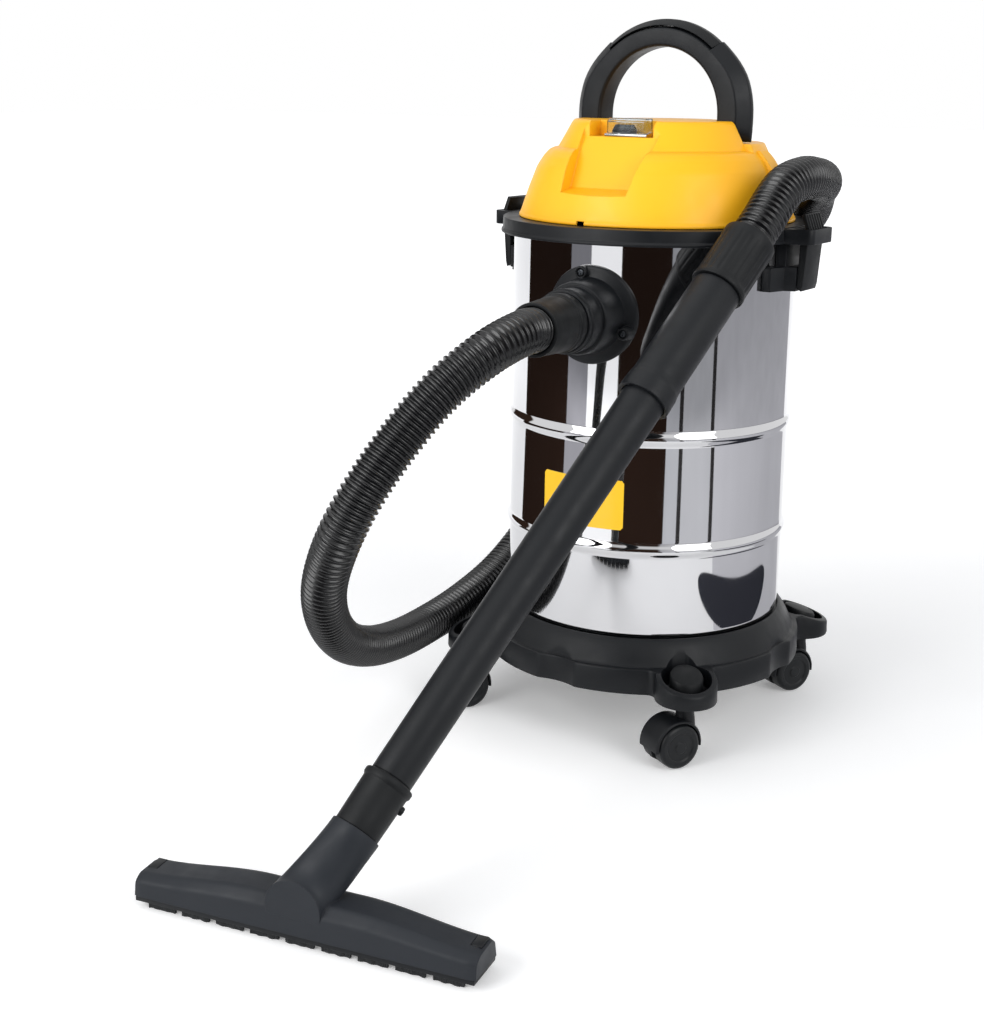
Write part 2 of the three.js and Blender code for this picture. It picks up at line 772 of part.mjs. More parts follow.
function floatAndFilter() {
  let cage = cut(
    join(pillar(0, 0, 402, 541.7, 44, 44, 20), pillar(0, 0, 536, 541.7, 60, 60, 20)),
    pillar(0, 0, 406, 560, 40, 40, 20),
  );
  for (let i = 0; i < 4; i++) {
    cage = cut(cage, turnZ(box(-11, 11, -60, 60, 416, 528), i * 45));
  }
  cage = cut(cage, pillar(0, 0, 390, 420, 24, 24, 16));
  add("float_cage", cage, grey());
  const ball = new THREE.SphereGeometry(36, 16, 10).rotateX(Math.PI / 2).translate(0, 0, 433.2);
  add("float_ball", solid(ball), finish("#e8e4da", 0.5));
  const sleeve = ring([[44.7, 404], [52, 404], [52, 534], [44.7, 534]], 24);
  add("filter_sleeve", sleeve, finish("#e6e2d6", 0.95));
  const clamp = ring([[52.4, 521], [55.4, 521], [55.4, 531], [52.4, 531]], 24);
  add("filter_clamp", clamp, black());
}

// ---------- hose, wand and nozzle ----------
function wandPoint(length) {
  return WAND_START.clone().addScaledVector(WAND_DIRECTION, length);
}

function hose() {
  // Cuff turned as one profile, then laid along the inlet's axis with its spigot inside the flange.
  const cuffProfile = [
    [18, 175],
    [21.5, 175],
    [21.5, 216.6],
    [29, 216.6],
    [29, 232],
    [27.5, 233],
    [26, CUFF_END],
    [18, CUFF_END],
  ];
  const outward = inletAxisPoint(1, 0).normalize();
  add("hose_inlet_cuff", ringAlong(cuffProfile, inletAxisPoint(0), outward, 20), softBlack());

  const start = inletAxisPoint(CUFF_END + GAP);
  const end = wandPoint(WAND_CUFF_END + GAP);
  const route = [
    start,
    inletAxisPoint(CUFF_END + 22),
    new THREE.Vector3(14, -340, 449),
    new THREE.Vector3(-8, -382, 418),
    new THREE.Vector3(-32, -414, 375),
    new THREE.Vector3(-52, -447, 325),
    new THREE.Vector3(-70, -459, 283),
    new THREE.Vector3(-97, -447, 233),
    new THREE.Vector3(-124, -412, 184),
    new THREE.Vector3(-150, -356, 138),
    new THREE.Vector3(-170, -292, 108),
    new THREE.Vector3(-186, -222, 91),
    new THREE.Vector3(-198, -150, 85),
    new THREE.Vector3(-197, -80, 94),
    new THREE.Vector3(-192, -10, 116),
    new THREE.Vector3(-187, 48, 150),
    new THREE.Vector3(-171, 98, 210),
    new THREE.Vector3(-138, 143, 285),
    new THREE.Vector3(-90, 178, 355),
    new THREE.Vector3(-35, 198, 420),
    new THREE.Vector3(20, 201, 475),
    new THREE.Vector3(66, 192, 510),
    new THREE.Vector3(106, 166, 548),
    new THREE.Vector3(132, 119, 575),
    new THREE.Vector3(153, 80, 588),
    new THREE.Vector3(163.5, 34, 594),
    new THREE.Vector3(168, -8, 596),
    new THREE.Vector3(166.5, -48, 588),
    wandPoint(WAND_CUFF_END + 28),
    end,
  ];
  const path = new THREE.CatmullRomCurve3(route, false, "centripetal");
  const section = new THREE.Shape(arc(0, 0, HOSE_R, 0, 315, 7).map(([x, y]) => new THREE.Vector2(x, y)));
  const tube = new THREE.ExtrudeGeometry(section, { steps: HOSE_STEPS, extrudePath: path });
  add("suction_hose", solid(tube), hoseBlack());
}

// A ring turned about the wand's axis.
function onWand(points, sides = 16) {
  return ringAlong(points, WAND_START, WAND_DIRECTION, sides);
}

function wand() {
  const hollow = [[18, 686], [18, 664], [22, 662], [22, 626]];
  let cuff = onWand([[27.2, 626], [26.6, WAND_CUFF_END], ...hollow], 18);
  const sideOn = new THREE.Vector3(WAND_DIRECTION.y, -WAND_DIRECTION.x, 0).normalize();
  for (let i = 0; i < 6; i++) {
    const flute = sideOn.clone().applyAxisAngle(WAND_DIRECTION, (i * Math.PI) / 3).multiplyScalar(28.6);
    cuff = cut(cuff, rod(wandPoint(632).add(flute), wandPoint(680).add(flute), 2.6, 2.6, 5));
  }
  add("hose_wand_cuff", cuff, softBlack());

  const upper = [
    [22.4, 486],
    [26.4, 486],
    [26, 504],
    [24.6, 512],
    [24.6, 625.4],
    [21.6, 625.4],
    [21.6, 655],
    [18.5, 655],
    [18.5, 540],
    [22.4, 540],
  ];
  add("wand_upper_tube", onWand(upper), black());

  const lower = [
    [16, 40],
    [18.4, 40],
    [18.4, 68],
    [19.2, 68],
    [21.8, 495],
    [21.8, 536],
    [16, 536],
  ];
  add("wand_lower_tube", onWand(lower), black());

  const coupling = onWand([[19.2, 16], [20.6, 16], [21.4, 61], [22.8, 62], [22.8, 66], [19.2, 66]]);
  const buttonAt = (r) => wandPoint(50).addScaledVector(BUTTON_SIDE, r);
  const bore = rod(buttonAt(17.5), buttonAt(30), 4.6, 4.6, 10);
  add("nozzle_coupling", cut(coupling, bore), softBlack());
  add("wand_button", rod(buttonAt(20.2), buttonAt(24.6), 4.1, 3.4, 10), black());
}

function nozzle() {
  // Local frame: u along the nozzle from its left end, n from its front face backwards.
  const place = (body) => turnZ(body, NOZZLE_ANGLE, NOZZLE_LEFT.x, NOZZLE_LEFT.y);
  const L = NOZZLE_LENGTH;
  const middle = L / 2;
  // Sections in n and z that grow from the ends to the middle, joined two by two.
  const section = (front, back, top) => [
    [0, NOZZLE_BOTTOM + 3],
    [1.5, front],
    [10, top],
    [34, back],
    [NOZZLE_DEPTH - 3, back - 4],
    [NOZZLE_DEPTH, NOZZLE_BOTTOM + 3],
  ];
  const stations = [
    [0, section(25, 31, 30)],
    [60, section(29, 38, 36)],
    [115, section(31, 42, 40)],
    [L - 115, section(31, 42, 40)],
    [L - 60, section(29, 38, 36)],
    [L, section(25, 31, 30)],
  ];
  const positions = [];
  const tri = (a, b, c) => positions.push(...a, ...b, ...c);
  const ringAt = ([u, outline]) => outline.map(([n, z]) => [u, n, z]);
  const rings = stations.map(ringAt);
  const cap = (points, flip) => {
    for (let i = 1; i < points.length - 1; i++) {
      if (flip) tri(points[0], points[i + 1], points[i]);
      else tri(points[0], points[i], points[i + 1]);
    }
  };
  cap(rings[0], true);
  for (let k = 0; k < rings.length - 1; k++) {
    const a = rings[k];
    const b = rings[k + 1];
    a.forEach((_, i) => {
      const j = (i + 1) % a.length;
      tri(a[i], a[j], b[j]);
      tri(a[i], b[j], b[i]);
    });
  }
  cap(rings[rings.length - 1], false);
  const hull = new THREE.BufferGeometry();
  hull.setAttribute("position", new THREE.Float32BufferAttribute(positions, 3));
  const chamber = box(8, L - 8, 6, NOZZLE_DEPTH - 6, 0, 22);
  let body = cut(solid(hull), chamber);

  // Arched front hump and the neck that rises to the coupling.
  const humpOutline = [
    [middle - 44, 28],
    ...arc(middle - 4, 34, 26, 170, 10, 8),
    [middle + 36, 28],
  ];
  const hump = sideways(humpOutline, 1.5, 30);
  body = place(join(body, hump));
  const neck = onWand([[17.5, -48], [30, -48], [24, -14], [22.6, 15.6], [17.5, 15.6]]);
  const neckClear = place(box(-50, L + 50, -60, NOZZLE_DEPTH + 60, -60, NOZZLE_BOTTOM + 4));
  const frontTrim = place(box(-50, L + 50, -60, 1.4, -60, 80));
  const throat = rod(wandPoint(-62), wandPoint(30), 17.3, 17.3, 14);
  body = join(body, cut(neck, neckClear, frontTrim));
  const floorKeep = place(box(-50, L + 50, -60, NOZZLE_DEPTH + 60, -60, 15));
  body = cut(body, cut(throat, floorKeep));
  const clipAt = [2.5, L - 12.5];
  for (const u of clipAt) body = cut(body, place(box(u, u + 10, 18, 35, 26, 44)));
  add("nozzle_body", body, grey());
  ["left", "right"].forEach((name, i) => {
    const u = clipAt[i] + GAP;
    const clip = across([[18.3, 26.3], [34.7, 26.3], [34.7, 31.6], [18.3, 31]], u, u + 9.4);
    add(`nozzle_clip_${name}`, place(clip), black());
  });

  // Sole plate with its suction slot, and the two bristle strips under it.
  const sole = cut(
    box(1, L - 1, 1, NOZZLE_DEPTH - 1, NOZZLE_BOTTOM - 1.5, NOZZLE_BOTTOM + 2.6),
    box(24, L - 24, 13, 31, 0, 20),
    box(6, L - 6, 3.4, 9, 0, NOZZLE_BOTTOM),
    box(6, L - 6, NOZZLE_DEPTH - 9, NOZZLE_DEPTH - 3.4, 0, NOZZLE_BOTTOM),
  );
  add("nozzle_sole", place(sole), black());
  const tufts = 9;
  const pitch = (L - 16) / tufts;
  const strip = (n0) => {
    let body = box(7, L - 7, n0, n0 + 4.6, NOZZLE_BOTTOM - 2.4, NOZZLE_BOTTOM - 0.3);
    for (let i = 0; i < tufts; i++) {
      const u = 8 + i * pitch + 3.4;
      body = join(body, box(u, u + pitch - 6.8, n0 + 0.4, n0 + 4.2, 0, NOZZLE_BOTTOM - 2));
    }
    return place(body);
  };
  add("brush_front", strip(3.8), finish("#17181a", 0.9));
  add("brush_rear", strip(NOZZLE_DEPTH - 8.6), finish("#17181a", 0.9));
}

// ---------- assembly ----------
tank();
label();
inlet();
latches();
dolly();
for (let i = 0; i < LOBE_ANGLES.length; i++) caster(i);
headBase();
dome();
handle();
switchGear();
motor();
floatAndFilter();
hose();
wand();
nozzle();
group.position.set(AXIS_X, AXIS_Y, 0);

export default group;
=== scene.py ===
import json
import math

import bmesh
import bpy
from mathutils import Matrix, Vector


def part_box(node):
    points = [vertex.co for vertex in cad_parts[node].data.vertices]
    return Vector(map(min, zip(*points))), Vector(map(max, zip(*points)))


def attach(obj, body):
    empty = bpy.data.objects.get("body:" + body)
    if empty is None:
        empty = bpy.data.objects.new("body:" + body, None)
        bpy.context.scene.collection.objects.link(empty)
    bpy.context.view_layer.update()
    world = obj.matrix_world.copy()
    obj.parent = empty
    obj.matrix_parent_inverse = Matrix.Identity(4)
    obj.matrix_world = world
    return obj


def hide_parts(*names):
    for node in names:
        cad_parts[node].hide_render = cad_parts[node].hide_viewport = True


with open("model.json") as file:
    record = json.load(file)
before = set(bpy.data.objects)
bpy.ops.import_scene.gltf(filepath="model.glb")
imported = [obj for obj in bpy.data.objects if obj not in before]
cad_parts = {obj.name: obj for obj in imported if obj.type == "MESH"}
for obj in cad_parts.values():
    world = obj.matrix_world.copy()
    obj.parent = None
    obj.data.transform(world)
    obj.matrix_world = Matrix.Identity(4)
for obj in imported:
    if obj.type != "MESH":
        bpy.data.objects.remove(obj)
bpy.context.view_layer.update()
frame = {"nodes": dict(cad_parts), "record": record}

MM = 0.001
RAD = math.pi / 180
RECORD = frame["record"]
BODY_OF = {n: b for b, nodes in RECORD["behaviour"]["bodies"].items() for n in nodes}
scene = bpy.context.scene

# ---------- driving dimensions, in millimetres from the drum's axis on the floor ----------
TANK_R = 152.5
TANK_BOTTOM = 119
TANK_TOP = 538
BEAD_Z = (217, 336)
BEAD_OUT = 3.0
DOLLY_BOTTOM = 67
DOLLY_R = 178
LOBE_AT_R = 191.6
LOBE_R = 32.5
LOBE_TOP = 93
LOBE_SLOPE = 0.323
POCKET_R = 26.5
DENT_R = 60
DENT_AT_R = 232
POCKET_FLOOR = 74
CAP_R = 17.5
STEM_TOP = 86
LOBE_ANGLES = (43, 133, 223, 313)
WHEEL_R = 24
WHEEL_WIDTH = 40
CASTER_TRAIL = 17
CASTER_TRAIL_ANGLE = -28
RING_BOTTOM = 532
RING_TOP = 548
RING_R = 166.5
FAN_EYE_R = 20
DOME_FOOT = 548.3
DOME_WALL = 2.5
DECK_Z = 628
TIER_TOP = 650
TIER_R = 88.5
HUMP_R = 62
HANDLE_Y = 8
HANDLE_PIVOT_Z = 645
HANDLE_ARC_Z = 655
HANDLE_INNER = 69
HANDLE_OUTER = 99
LEG_SWELL = 4
HANDLE_HALF = 16
GRIP_ANGLE = 42
FLOAT_R = 36
FLOAT_Z = 433.2
INLET_ANGLE = 4
INLET_Z = 461
FLANGE_R = 50
BOSS_AT_R = 43.5
CUFF_END = 274
HOSE_R = 22
HOSE_RIB_PITCH = 6.2
HOSE_RIB_DEPTH = 3.3
WAND_START = Vector((58.3, -611.1, 77.9))
WAND_DIRECTION = Vector((99, 486, 448)).normalized()
WAND_CUFF_END = 686
BUTTON_AT = 50
BUTTON_SIDE = Vector((0.732, 0.319, -0.508)).normalized()
NOZZLE_ANGLE = 10.4
NOZZLE_LEFT = (-116, -685)
NOZZLE_LENGTH = 321
NOZZLE_DEPTH = 44
NOZZLE_BOTTOM = 8
NECK_R = 26

_low, _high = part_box("tank_shell")
AXIS = Vector(((_low.x + _high.x) / 2, (_low.y + _high.y) / 2, 0))


def at(x, y, z):
    """A point in the row frame, in metres, from millimetres about the drum's axis."""
    return AXIS + Vector((x, y, z)) * MM


def around(radius, degrees, z=0.0):
    a = degrees * RAD
    return Vector((radius * math.sin(a), -radius * math.cos(a), z))


def inlet_point(radius, z=INLET_Z):
    return around(radius, INLET_ANGLE, z)


def wand_point(length):
    return WAND_START + WAND_DIRECTION * length


def placed(name, data):
    """A new object in the scene."""
    made = bpy.data.objects.new(name, data)
    scene.collection.objects.link(made)
    return made


# ---------- camera ----------
CAMERA_TURN = 28
CAMERA_YAW = 5.80
CAMERA_PITCH = 15.55
CAMERA_ROLL = 0.61
CAMERA_DISTANCE = 1716
CAMERA_HEIGHT = 691
CAMERA_LENS = 54.9


def make_camera():
    heading = (CAMERA_TURN + CAMERA_YAW) * RAD
    pitch = CAMERA_PITCH * RAD
    roll = CAMERA_ROLL * RAD
    level = math.cos(pitch)
    forward = Vector((-math.sin(heading) * level, math.cos(heading) * level, -math.sin(pitch)))
    right = forward.cross(Vector((0, 0, 1))).normalized()
    up = right.cross(forward)
    tilted_right = right * math.cos(roll) + up * math.sin(roll)
    tilted_up = up * math.cos(roll) - right * math.sin(roll)
    data = bpy.data.cameras.new("camera")
    data.lens = CAMERA_LENS
    data.sensor_width = 36
    data.clip_start, data.clip_end = 0.05, 60
    camera = placed("camera", data)
    place = around(CAMERA_DISTANCE, CAMERA_TURN, CAMERA_HEIGHT)
    turn = Matrix((tilted_right, tilted_up, -forward)).transposed().to_4x4()
    camera.matrix_world = Matrix.Translation(at(*place)) @ turn
    scene.camera = camera


make_camera()


# ---------- materials ----------
def shader(name):
    material = bpy.data.materials.new(name)
    material.use_nodes = True
    nodes, links = material.node_tree.nodes, material.node_tree.links
    place = nodes.new("ShaderNodeTexCoord").outputs["Object"]
    return material, nodes, links, nodes["Principled BSDF"], place


def srgb(text):
    """Linear colour of a hexadecimal one."""
    values = [int(text[i : i + 2], 16) / 255 for i in (1, 3, 5)]
    return tuple(v / 12.92 if v <= 0.04045 else ((v + 0.055) / 1.055) ** 2.4 for v in values) + (1,)


def noise(nodes, links, coordinates, scale, detail=2.0, stretch=None):
    source = coordinates
    if stretch:
        mapping = nodes.new("ShaderNodeMapping")
        mapping.inputs["Scale"].default_value = stretch
        links.new(coordinates, mapping.inputs["Vector"])
        source = mapping.outputs["Vector"]
    texture = nodes.new("ShaderNodeTexNoise")
    texture.inputs["Scale"].default_value = scale
    texture.inputs["Detail"].default_value = detail
    links.new(source, texture.inputs["Vector"])
    return texture.outputs["Fac"]


def ranged(nodes, links, value, low=0, high=1, start=0.3, end=0.7):
    remap = nodes.new("ShaderNodeMapRange")
    for socket, number in (("From Min", start), ("From Max", end), ("To Min", low), ("To Max", high)):
        remap.inputs[socket].default_value = number
    links.new(value, remap.inputs["Value"])
    return remap.outputs["Result"]


def mixed(nodes, links, amount, first, second):
    mix = nodes.new("ShaderNodeMix")
    mix.data_type = "RGBA"
    links.new(amount, mix.inputs["Factor"])
    for socket, colour in ((mix.inputs[6], first), (mix.inputs[7], second)):
        if isinstance(colour, tuple):
            socket.default_value = colour
        else:
            links.new(colour, socket)
    return mix.outputs[2]


def tinted(colour, factor):
    return tuple(min(1.0, c * factor) for c in colour[:3]) + (1,)


def bumped(nodes, links, height, strength, distance, normal=None):
    bump = nodes.new("ShaderNodeBump")
    bump.inputs["Strength"].default_value = strength
    bump.inputs["Distance"].default_value = distance
    links.new(height, bump.inputs["Height"])
    if normal:
        links.new(normal, bump.inputs["Normal"])
    return bump.outputs["Normal"]


def plastic(name, colour, rough, grain, depth, edge, vary, wear, coat=0.0, shine=0.22):
    """Moulded plastic: rounded edges, a fine grain, uneven gloss and edges rubbed a little lighter.

    The grain's scale and depth come first, then the edge radius in millimetres, how far the colour
    varies, how much lighter the worn edges are, the clear coat and the strength of reflections.
    """
    material, nodes, links, bsdf, place = shader(name)
    base = srgb(colour)
    broad = noise(nodes, links, place, 14, 3)
    cloud = ranged(nodes, links, broad)
    body = mixed(nodes, links, cloud, tinted(base, 1 - vary), tinted(base, 1 + vary))
    rounded = nodes.new("ShaderNodeBevel")
    rounded.samples = 4
    rounded.inputs["Radius"].default_value = edge * MM
    facing = nodes.new("ShaderNodeVectorMath")
    facing.operation = "DOT_PRODUCT"
    geometry = nodes.new("ShaderNodeNewGeometry")
    links.new(rounded.outputs["Normal"], facing.inputs[0])
    links.new(geometry.outputs["Normal"], facing.inputs[1])
    rubbed = ranged(nodes, links, facing.outputs["Value"], 0.55, 0, 0.75, 0.985)
    links.new(mixed(nodes, links, rubbed, body, tinted(base, wear)), bsdf.inputs["Base Color"])
    patches = noise(nodes, links, place, 55, 4)
    links.new(ranged(nodes, links, patches, rough - 0.06, rough + 0.07), bsdf.inputs["Roughness"])
    fine = noise(nodes, links, place, grain, 2)
    grained = bumped(nodes, links, fine, 0.35, depth, rounded.outputs["Normal"])
    links.new(grained, bsdf.inputs["Normal"])
    bsdf.inputs["Specular IOR Level"].default_value = shine
    bsdf.inputs["Coat Weight"].default_value = coat
    bsdf.inputs["Coat Roughness"].default_value = 0.2
    return material


def metal(name, colour, rough, wave, brushed):
    """Bare metal: slow waves of thin sheet, brushed lines round the piece, and smudges in the gloss."""
    material, nodes, links, bsdf, place = shader(name)
    base = srgb(colour)
    cloud = noise(nodes, links, place, 9, 3)
    tone = mixed(nodes, links, ranged(nodes, links, cloud), tinted(base, 0.96), tinted(base, 1.02))
    links.new(tone, bsdf.inputs["Base Color"])
    bsdf.inputs["Metallic"].default_value = 1.0
    smudge = noise(nodes, links, place, 30, 5)
    links.new(ranged(nodes, links, smudge, rough * 0.7, rough * 1.5), bsdf.inputs["Roughness"])
    lines = noise(nodes, links, place, 1.0, 2, (25, 25, 2400))
    fine = bumped(nodes, links, lines, brushed, 0.00004)
    slow = noise(nodes, links, place, 1.0, 1, (7, 7, 4))
    links.new(bumped(nodes, links, slow, wave, 0.002, fine), bsdf.inputs["Normal"])
    return material


def bristles():
    """Tufts of hair: fine upright streaks of lighter and darker black."""
    material, nodes, links, bsdf, place = shader("bristles")
    streaks = noise(nodes, links, place, 1.0, 3, (1400, 1400, 60))
    tone = mixed(nodes, links, ranged(nodes, links, streaks), srgb("#0b0c0d"), srgb("#2b2d30"))
    links.new(tone, bsdf.inputs["Base Color"])
    bsdf.inputs["Roughness"].default_value = 0.85
    links.new(bumped(nodes, links, streaks, 0.8, 0.0006), bsdf.inputs["Normal"])
    return material


def paper(name, colour):
    """Filter paper or felt: a soft fibrous grain with dusty patches."""
    material, nodes, links, bsdf, place = shader(name)
    dust = noise(nodes, links, place, 20, 5)
    base = srgb(colour)
    tone = mixed(nodes, links, ranged(nodes, links, dust), tinted(base, 0.8), base)
    links.new(tone, bsdf.inputs["Base Color"])
    bsdf.inputs["Roughness"].default_value = 0.92
    fibres = noise(nodes, links, place, 1200, 4)
    links.new(bumped(nodes, links, fibres, 0.6, 0.0002), bsdf.inputs["Normal"])
    return material


def clear_plastic():
    """Soft clear cover: thin, faintly milky, with a wavy skin."""
    material, nodes, links, bsdf, place = shader("clear_cover")
    bsdf.inputs["Base Color"].default_value = srgb("#eef2f3")
    bsdf.inputs["Transmission Weight"].default_value = 1.0
    bsdf.inputs["IOR"].default_value = 1.25
    haze = noise(nodes, links, place, 200, 2)
    links.new(ranged(nodes, links, haze, 0.04, 0.16), bsdf.inputs["Roughness"])
    wavy = noise(nodes, links, place, 90, 1)
    links.new(bumped(nodes, links, wavy, 0.3, 0.0006), bsdf.inputs["Normal"])
    return material


YELLOW = plastic("dome_yellow", "#f8b412", 0.42, 1500, 0.00009, 2.2, 0.02, 1.06, 0.0, 0.4)
BLACK = plastic("black_plastic", "#121417", 0.42, 1300, 0.0001, 0.8, 0.08, 1.5)
TRIM = plastic("dark_trim", "#0f1113", 0.5, 1000, 0.00016, 0.8, 0.08, 1.5)
WAND = plastic("wand_black", "#131518", 0.45, 1100, 0.00014, 0.8, 0.06, 1.4)
NOZZLE = plastic("nozzle_grey", "#22252a", 0.5, 1100, 0.00014, 1.4, 0.06, 1.3)
HOSE = plastic("hose_black", "#0a0b0d", 0.24, 700, 0.00006, 0.2, 0.1, 1.3, 0.0, 0.5)
WHEEL = plastic("wheel_black", "#141618", 0.38, 800, 0.0001, 0.8, 0.1, 1.6)
LABEL = plastic("label_yellow", "#efbd17", 0.36, 500, 0.00003, 0.2, 0.03, 1.05, 0.4, 0.4)
GREY = plastic("inner_grey", "#4b4e52", 0.5, 900, 0.0001, 0.6, 0.06, 1.3)
SILVER = metal("switch_silver", "#b8babc", 0.22, 0.0, 0.2)
ROCKER = plastic("rocker_dark", "#2c2f33", 0.35, 600, 0.00006, 0.5, 0.06, 1.5)
STEEL = metal("mirror_steel", "#cfcfd1", 0.035, 0.12, 0.02)
SCREW = metal("blackened_screw", "#44474b", 0.4, 0.0, 0.3)
DARK_STEEL = metal("fastener_steel", "#8d9094", 0.28, 0.0, 0.3)
COPPER = metal("windings", "#a8623a", 0.35, 0.0, 0.6)
ALUMINIUM = metal("fan_aluminium", "#b9bcbf", 0.35, 0.0, 0.4)
GASKET = paper("gasket_foam", "#2b2b2c")
FILTER = paper("filter_paper", "#e7e3d6")
FLOAT = plastic("float_white", "#e9e5da", 0.4, 700, 0.00005, 0.5, 0.03, 1.02)
BRISTLE = bristles()
CLEAR = clear_plastic()


# ---------- mesh helpers ----------
def object_of(name, points, faces, sharp=32):
    mesh = bpy.data.meshes.new(name)
    mesh.from_pydata([at(*p) for p in points], [], faces)
    shaped = bmesh.new()
    shaped.from_mesh(mesh)
    bmesh.ops.remove_doubles(shaped, verts=shaped.verts, dist=1e-6)
    bmesh.ops.recalc_face_normals(shaped, faces=shaped.faces)
    shaped.to_mesh(mesh)
    shaped.free()
    piece = placed(name, mesh)
    shade(piece, sharp)
    return piece


def shade(piece, sharp=32):
    piece.data.shade_smooth()
    piece.data.set_sharp_from_angle(angle=sharp * RAD)


def own(piece, material, *nodes):
    """The piece wears a material, stands for its CAD nodes and rides with their body."""
    piece.data.materials.clear()
    piece.data.materials.append(material)
    for polygon in piece.data.polygons:
        polygon.material_index = 0
    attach(piece, BODY_OF[nodes[0]])
    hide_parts(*nodes)
    return piece


def dress(node, material):
    """A CAD node that stays as it is, in a procedural material."""
    mesh = frame["nodes"][node].data
    mesh.materials.clear()
    mesh.materials.append(material)


def soften(profile, radius=1.0, steps=3, closed=False):
    """The outline with each corner turned into a small curve."""
    count = len(profile)
    result = []
    for i, p in enumerate(profile):
        corner = Vector(p)
        if not closed and i in (0, count - 1):
            result.append(tuple(corner))
            continue
        before = Vector(profile[i - 1]) - corner
        after = Vector(profile[(i + 1) % count]) - corner
        reach = min(radius, before.length * 0.45, after.length * 0.45)
        a = corner + before.normalized() * reach
        b = corner + after.normalized() * reach
        for k in range(steps + 1):
            t = k / steps
            result.append(tuple(a * (1 - t) ** 2 + corner * 2 * t * (1 - t) + b * t**2))
    return result


def skin(name, rings, looped=False, capped=False, sharp=32):
    """Joins rings of equally many points; looped joins the last to the first, capped closes both ends."""
    count = len(rings[0])
    faces = []
    for i in range(len(rings) if looped else len(rings) - 1):
        a = i * count
        b = (i + 1) % len(rings) * count
        for k in range(count):
            n = (k + 1) % count
            faces.append([a + k, a + n, b + n, b + k])
    if capped:
        faces.append(list(range(count)))
        faces.append([(len(rings) - 1) * count + k for k in range(count)])
    return object_of(name, [p for ring in rings for p in ring], faces, sharp)


def circle(count):
    """Cosine and sine of evenly spaced turns."""
    turns = [2 * math.pi * k / count for k in range(count)]
    return [(math.cos(a), math.sin(a)) for a in turns]


def upright_frame(origin=(0, 0, 0), direction=(0, 0, 1)):
    """Turns local Z to the direction and moves the local origin."""
    spin = Vector((0, 0, 1)).rotation_difference(Vector(direction)).to_matrix().to_4x4()
    return Matrix.Translation(Vector(origin)) @ spin


def lathe(name, profile, sides=128, place=None, closed=False, radius=0.0, sharp=32):
    """A surface of revolution about Z from (radius, height) pairs, or about the place's own axis."""
    outline = soften(profile, radius, 3, closed) if radius else list(profile)
    place = place or Matrix.Identity(4)
    points, rings = [], []
    for r, z in outline:
        if abs(r) < 1e-6:
            rings.append([len(points)] * sides)
            points.append(place @ Vector((0, 0, z)))
            continue
        rings.append(list(range(len(points), len(points) + sides)))
        for k in range(sides):
            a = 2 * math.pi * k / sides
            points.append(place @ Vector((r * math.cos(a), r * math.sin(a), z)))
    faces = []
    pairs = list(zip(rings, rings[1:]))
    if closed:
        pairs.append((rings[-1], rings[0]))
    for a, b in pairs:
        for k in range(sides):
            n = (k + 1) % sides
            face = [a[k], a[n], b[n], b[k]]
            face = [v for j, v in enumerate(face) if v not in face[:j]]
            if len(face) > 2:
                faces.append(face)
    return object_of(name, points, faces, sharp)


def slab(name, outline, low, high, plane="xy", radius=0.0, sharp=32):
    """An outline in one plane drawn out from low to high along the third axis."""
    shape = soften(outline, radius, 3, True) if radius else list(outline)
    turn = {
        "xy": lambda u, v, w: (u, v, w),
        "xz": lambda u, v, w: (u, w, v),
        "yz": lambda u, v, w: (w, u, v),
    }[plane]
    count = len(shape)
    points = [turn(u, v, w) for w in (low, high) for u, v in shape]
    faces = [list(range(count)), list(range(count, 2 * count))]
    for i in range(count):
        j = (i + 1) % count
        faces.append([i, j, count + j, count + i])
    return object_of(name, points, faces, sharp)


def block(name, x0, x1, y0, y1, z0, z1):
    return slab(name, [(x0, y0), (x1, y0), (x1, y1), (x0, y1)], z0, z1)


def bar(name, start, end, radius):
    """A round bar from one point to another."""
    along = Vector(end) - Vector(start)
    place = upright_frame(start, along.normalized())
    return lathe(name, [(0, 0), (radius, 0), (radius, along.length), (0, along.length)], 48, place)


def baked(piece):
    """Turns the piece's modifier into its mesh."""
    graph = bpy.context.evaluated_depsgraph_get()
    made = bpy.data.meshes.new_from_object(piece.evaluated_get(graph))
    piece.modifiers.clear()
    piece.data = made


def combine(piece, other, kind):
    """Adds or cuts a closed mesh, and removes it."""
    step = piece.modifiers.new("combine", "BOOLEAN")
    step.operation = kind
    step.solver = "MANIFOLD"
    step.object = other
    baked(piece)
    bpy.data.objects.remove(other)


def cut(piece, *others):
    for other in others:
        combine(piece, other, "DIFFERENCE")
    shade(piece)
    return piece


def unite(piece, *others):
    for other in others:
        combine(piece, other, "UNION")
    shade(piece)
    return piece


def mirrored(piece):
    """Flips a mesh about the drum's own middle plane."""
    for vertex in piece.data.vertices:
        vertex.co.x = 2 * AXIS.x - vertex.co.x
    piece.data.flip_normals()
    return piece


def merged(name, *pieces):
    """Several meshes as one object."""
    mesh = bpy.data.meshes.new(name)
    whole = bmesh.new()
    for piece in pieces:
        whole.from_mesh(piece.data)
        bpy.data.objects.remove(piece)
    whole.to_mesh(mesh)
    whole.free()
    result = placed(name, mesh)
    shade(result)
    return result


def bevelled(piece, width=0.6, segments=2, angle=35):
    """Rounded edges in the mesh itself."""
    step = piece.modifiers.new("edges", "BEVEL")
    step.width = width * MM
    step.segments = segments
    step.limit_method = "ANGLE"
    step.angle_limit = angle * RAD
    baked(piece)
    shade(piece)
    return piece


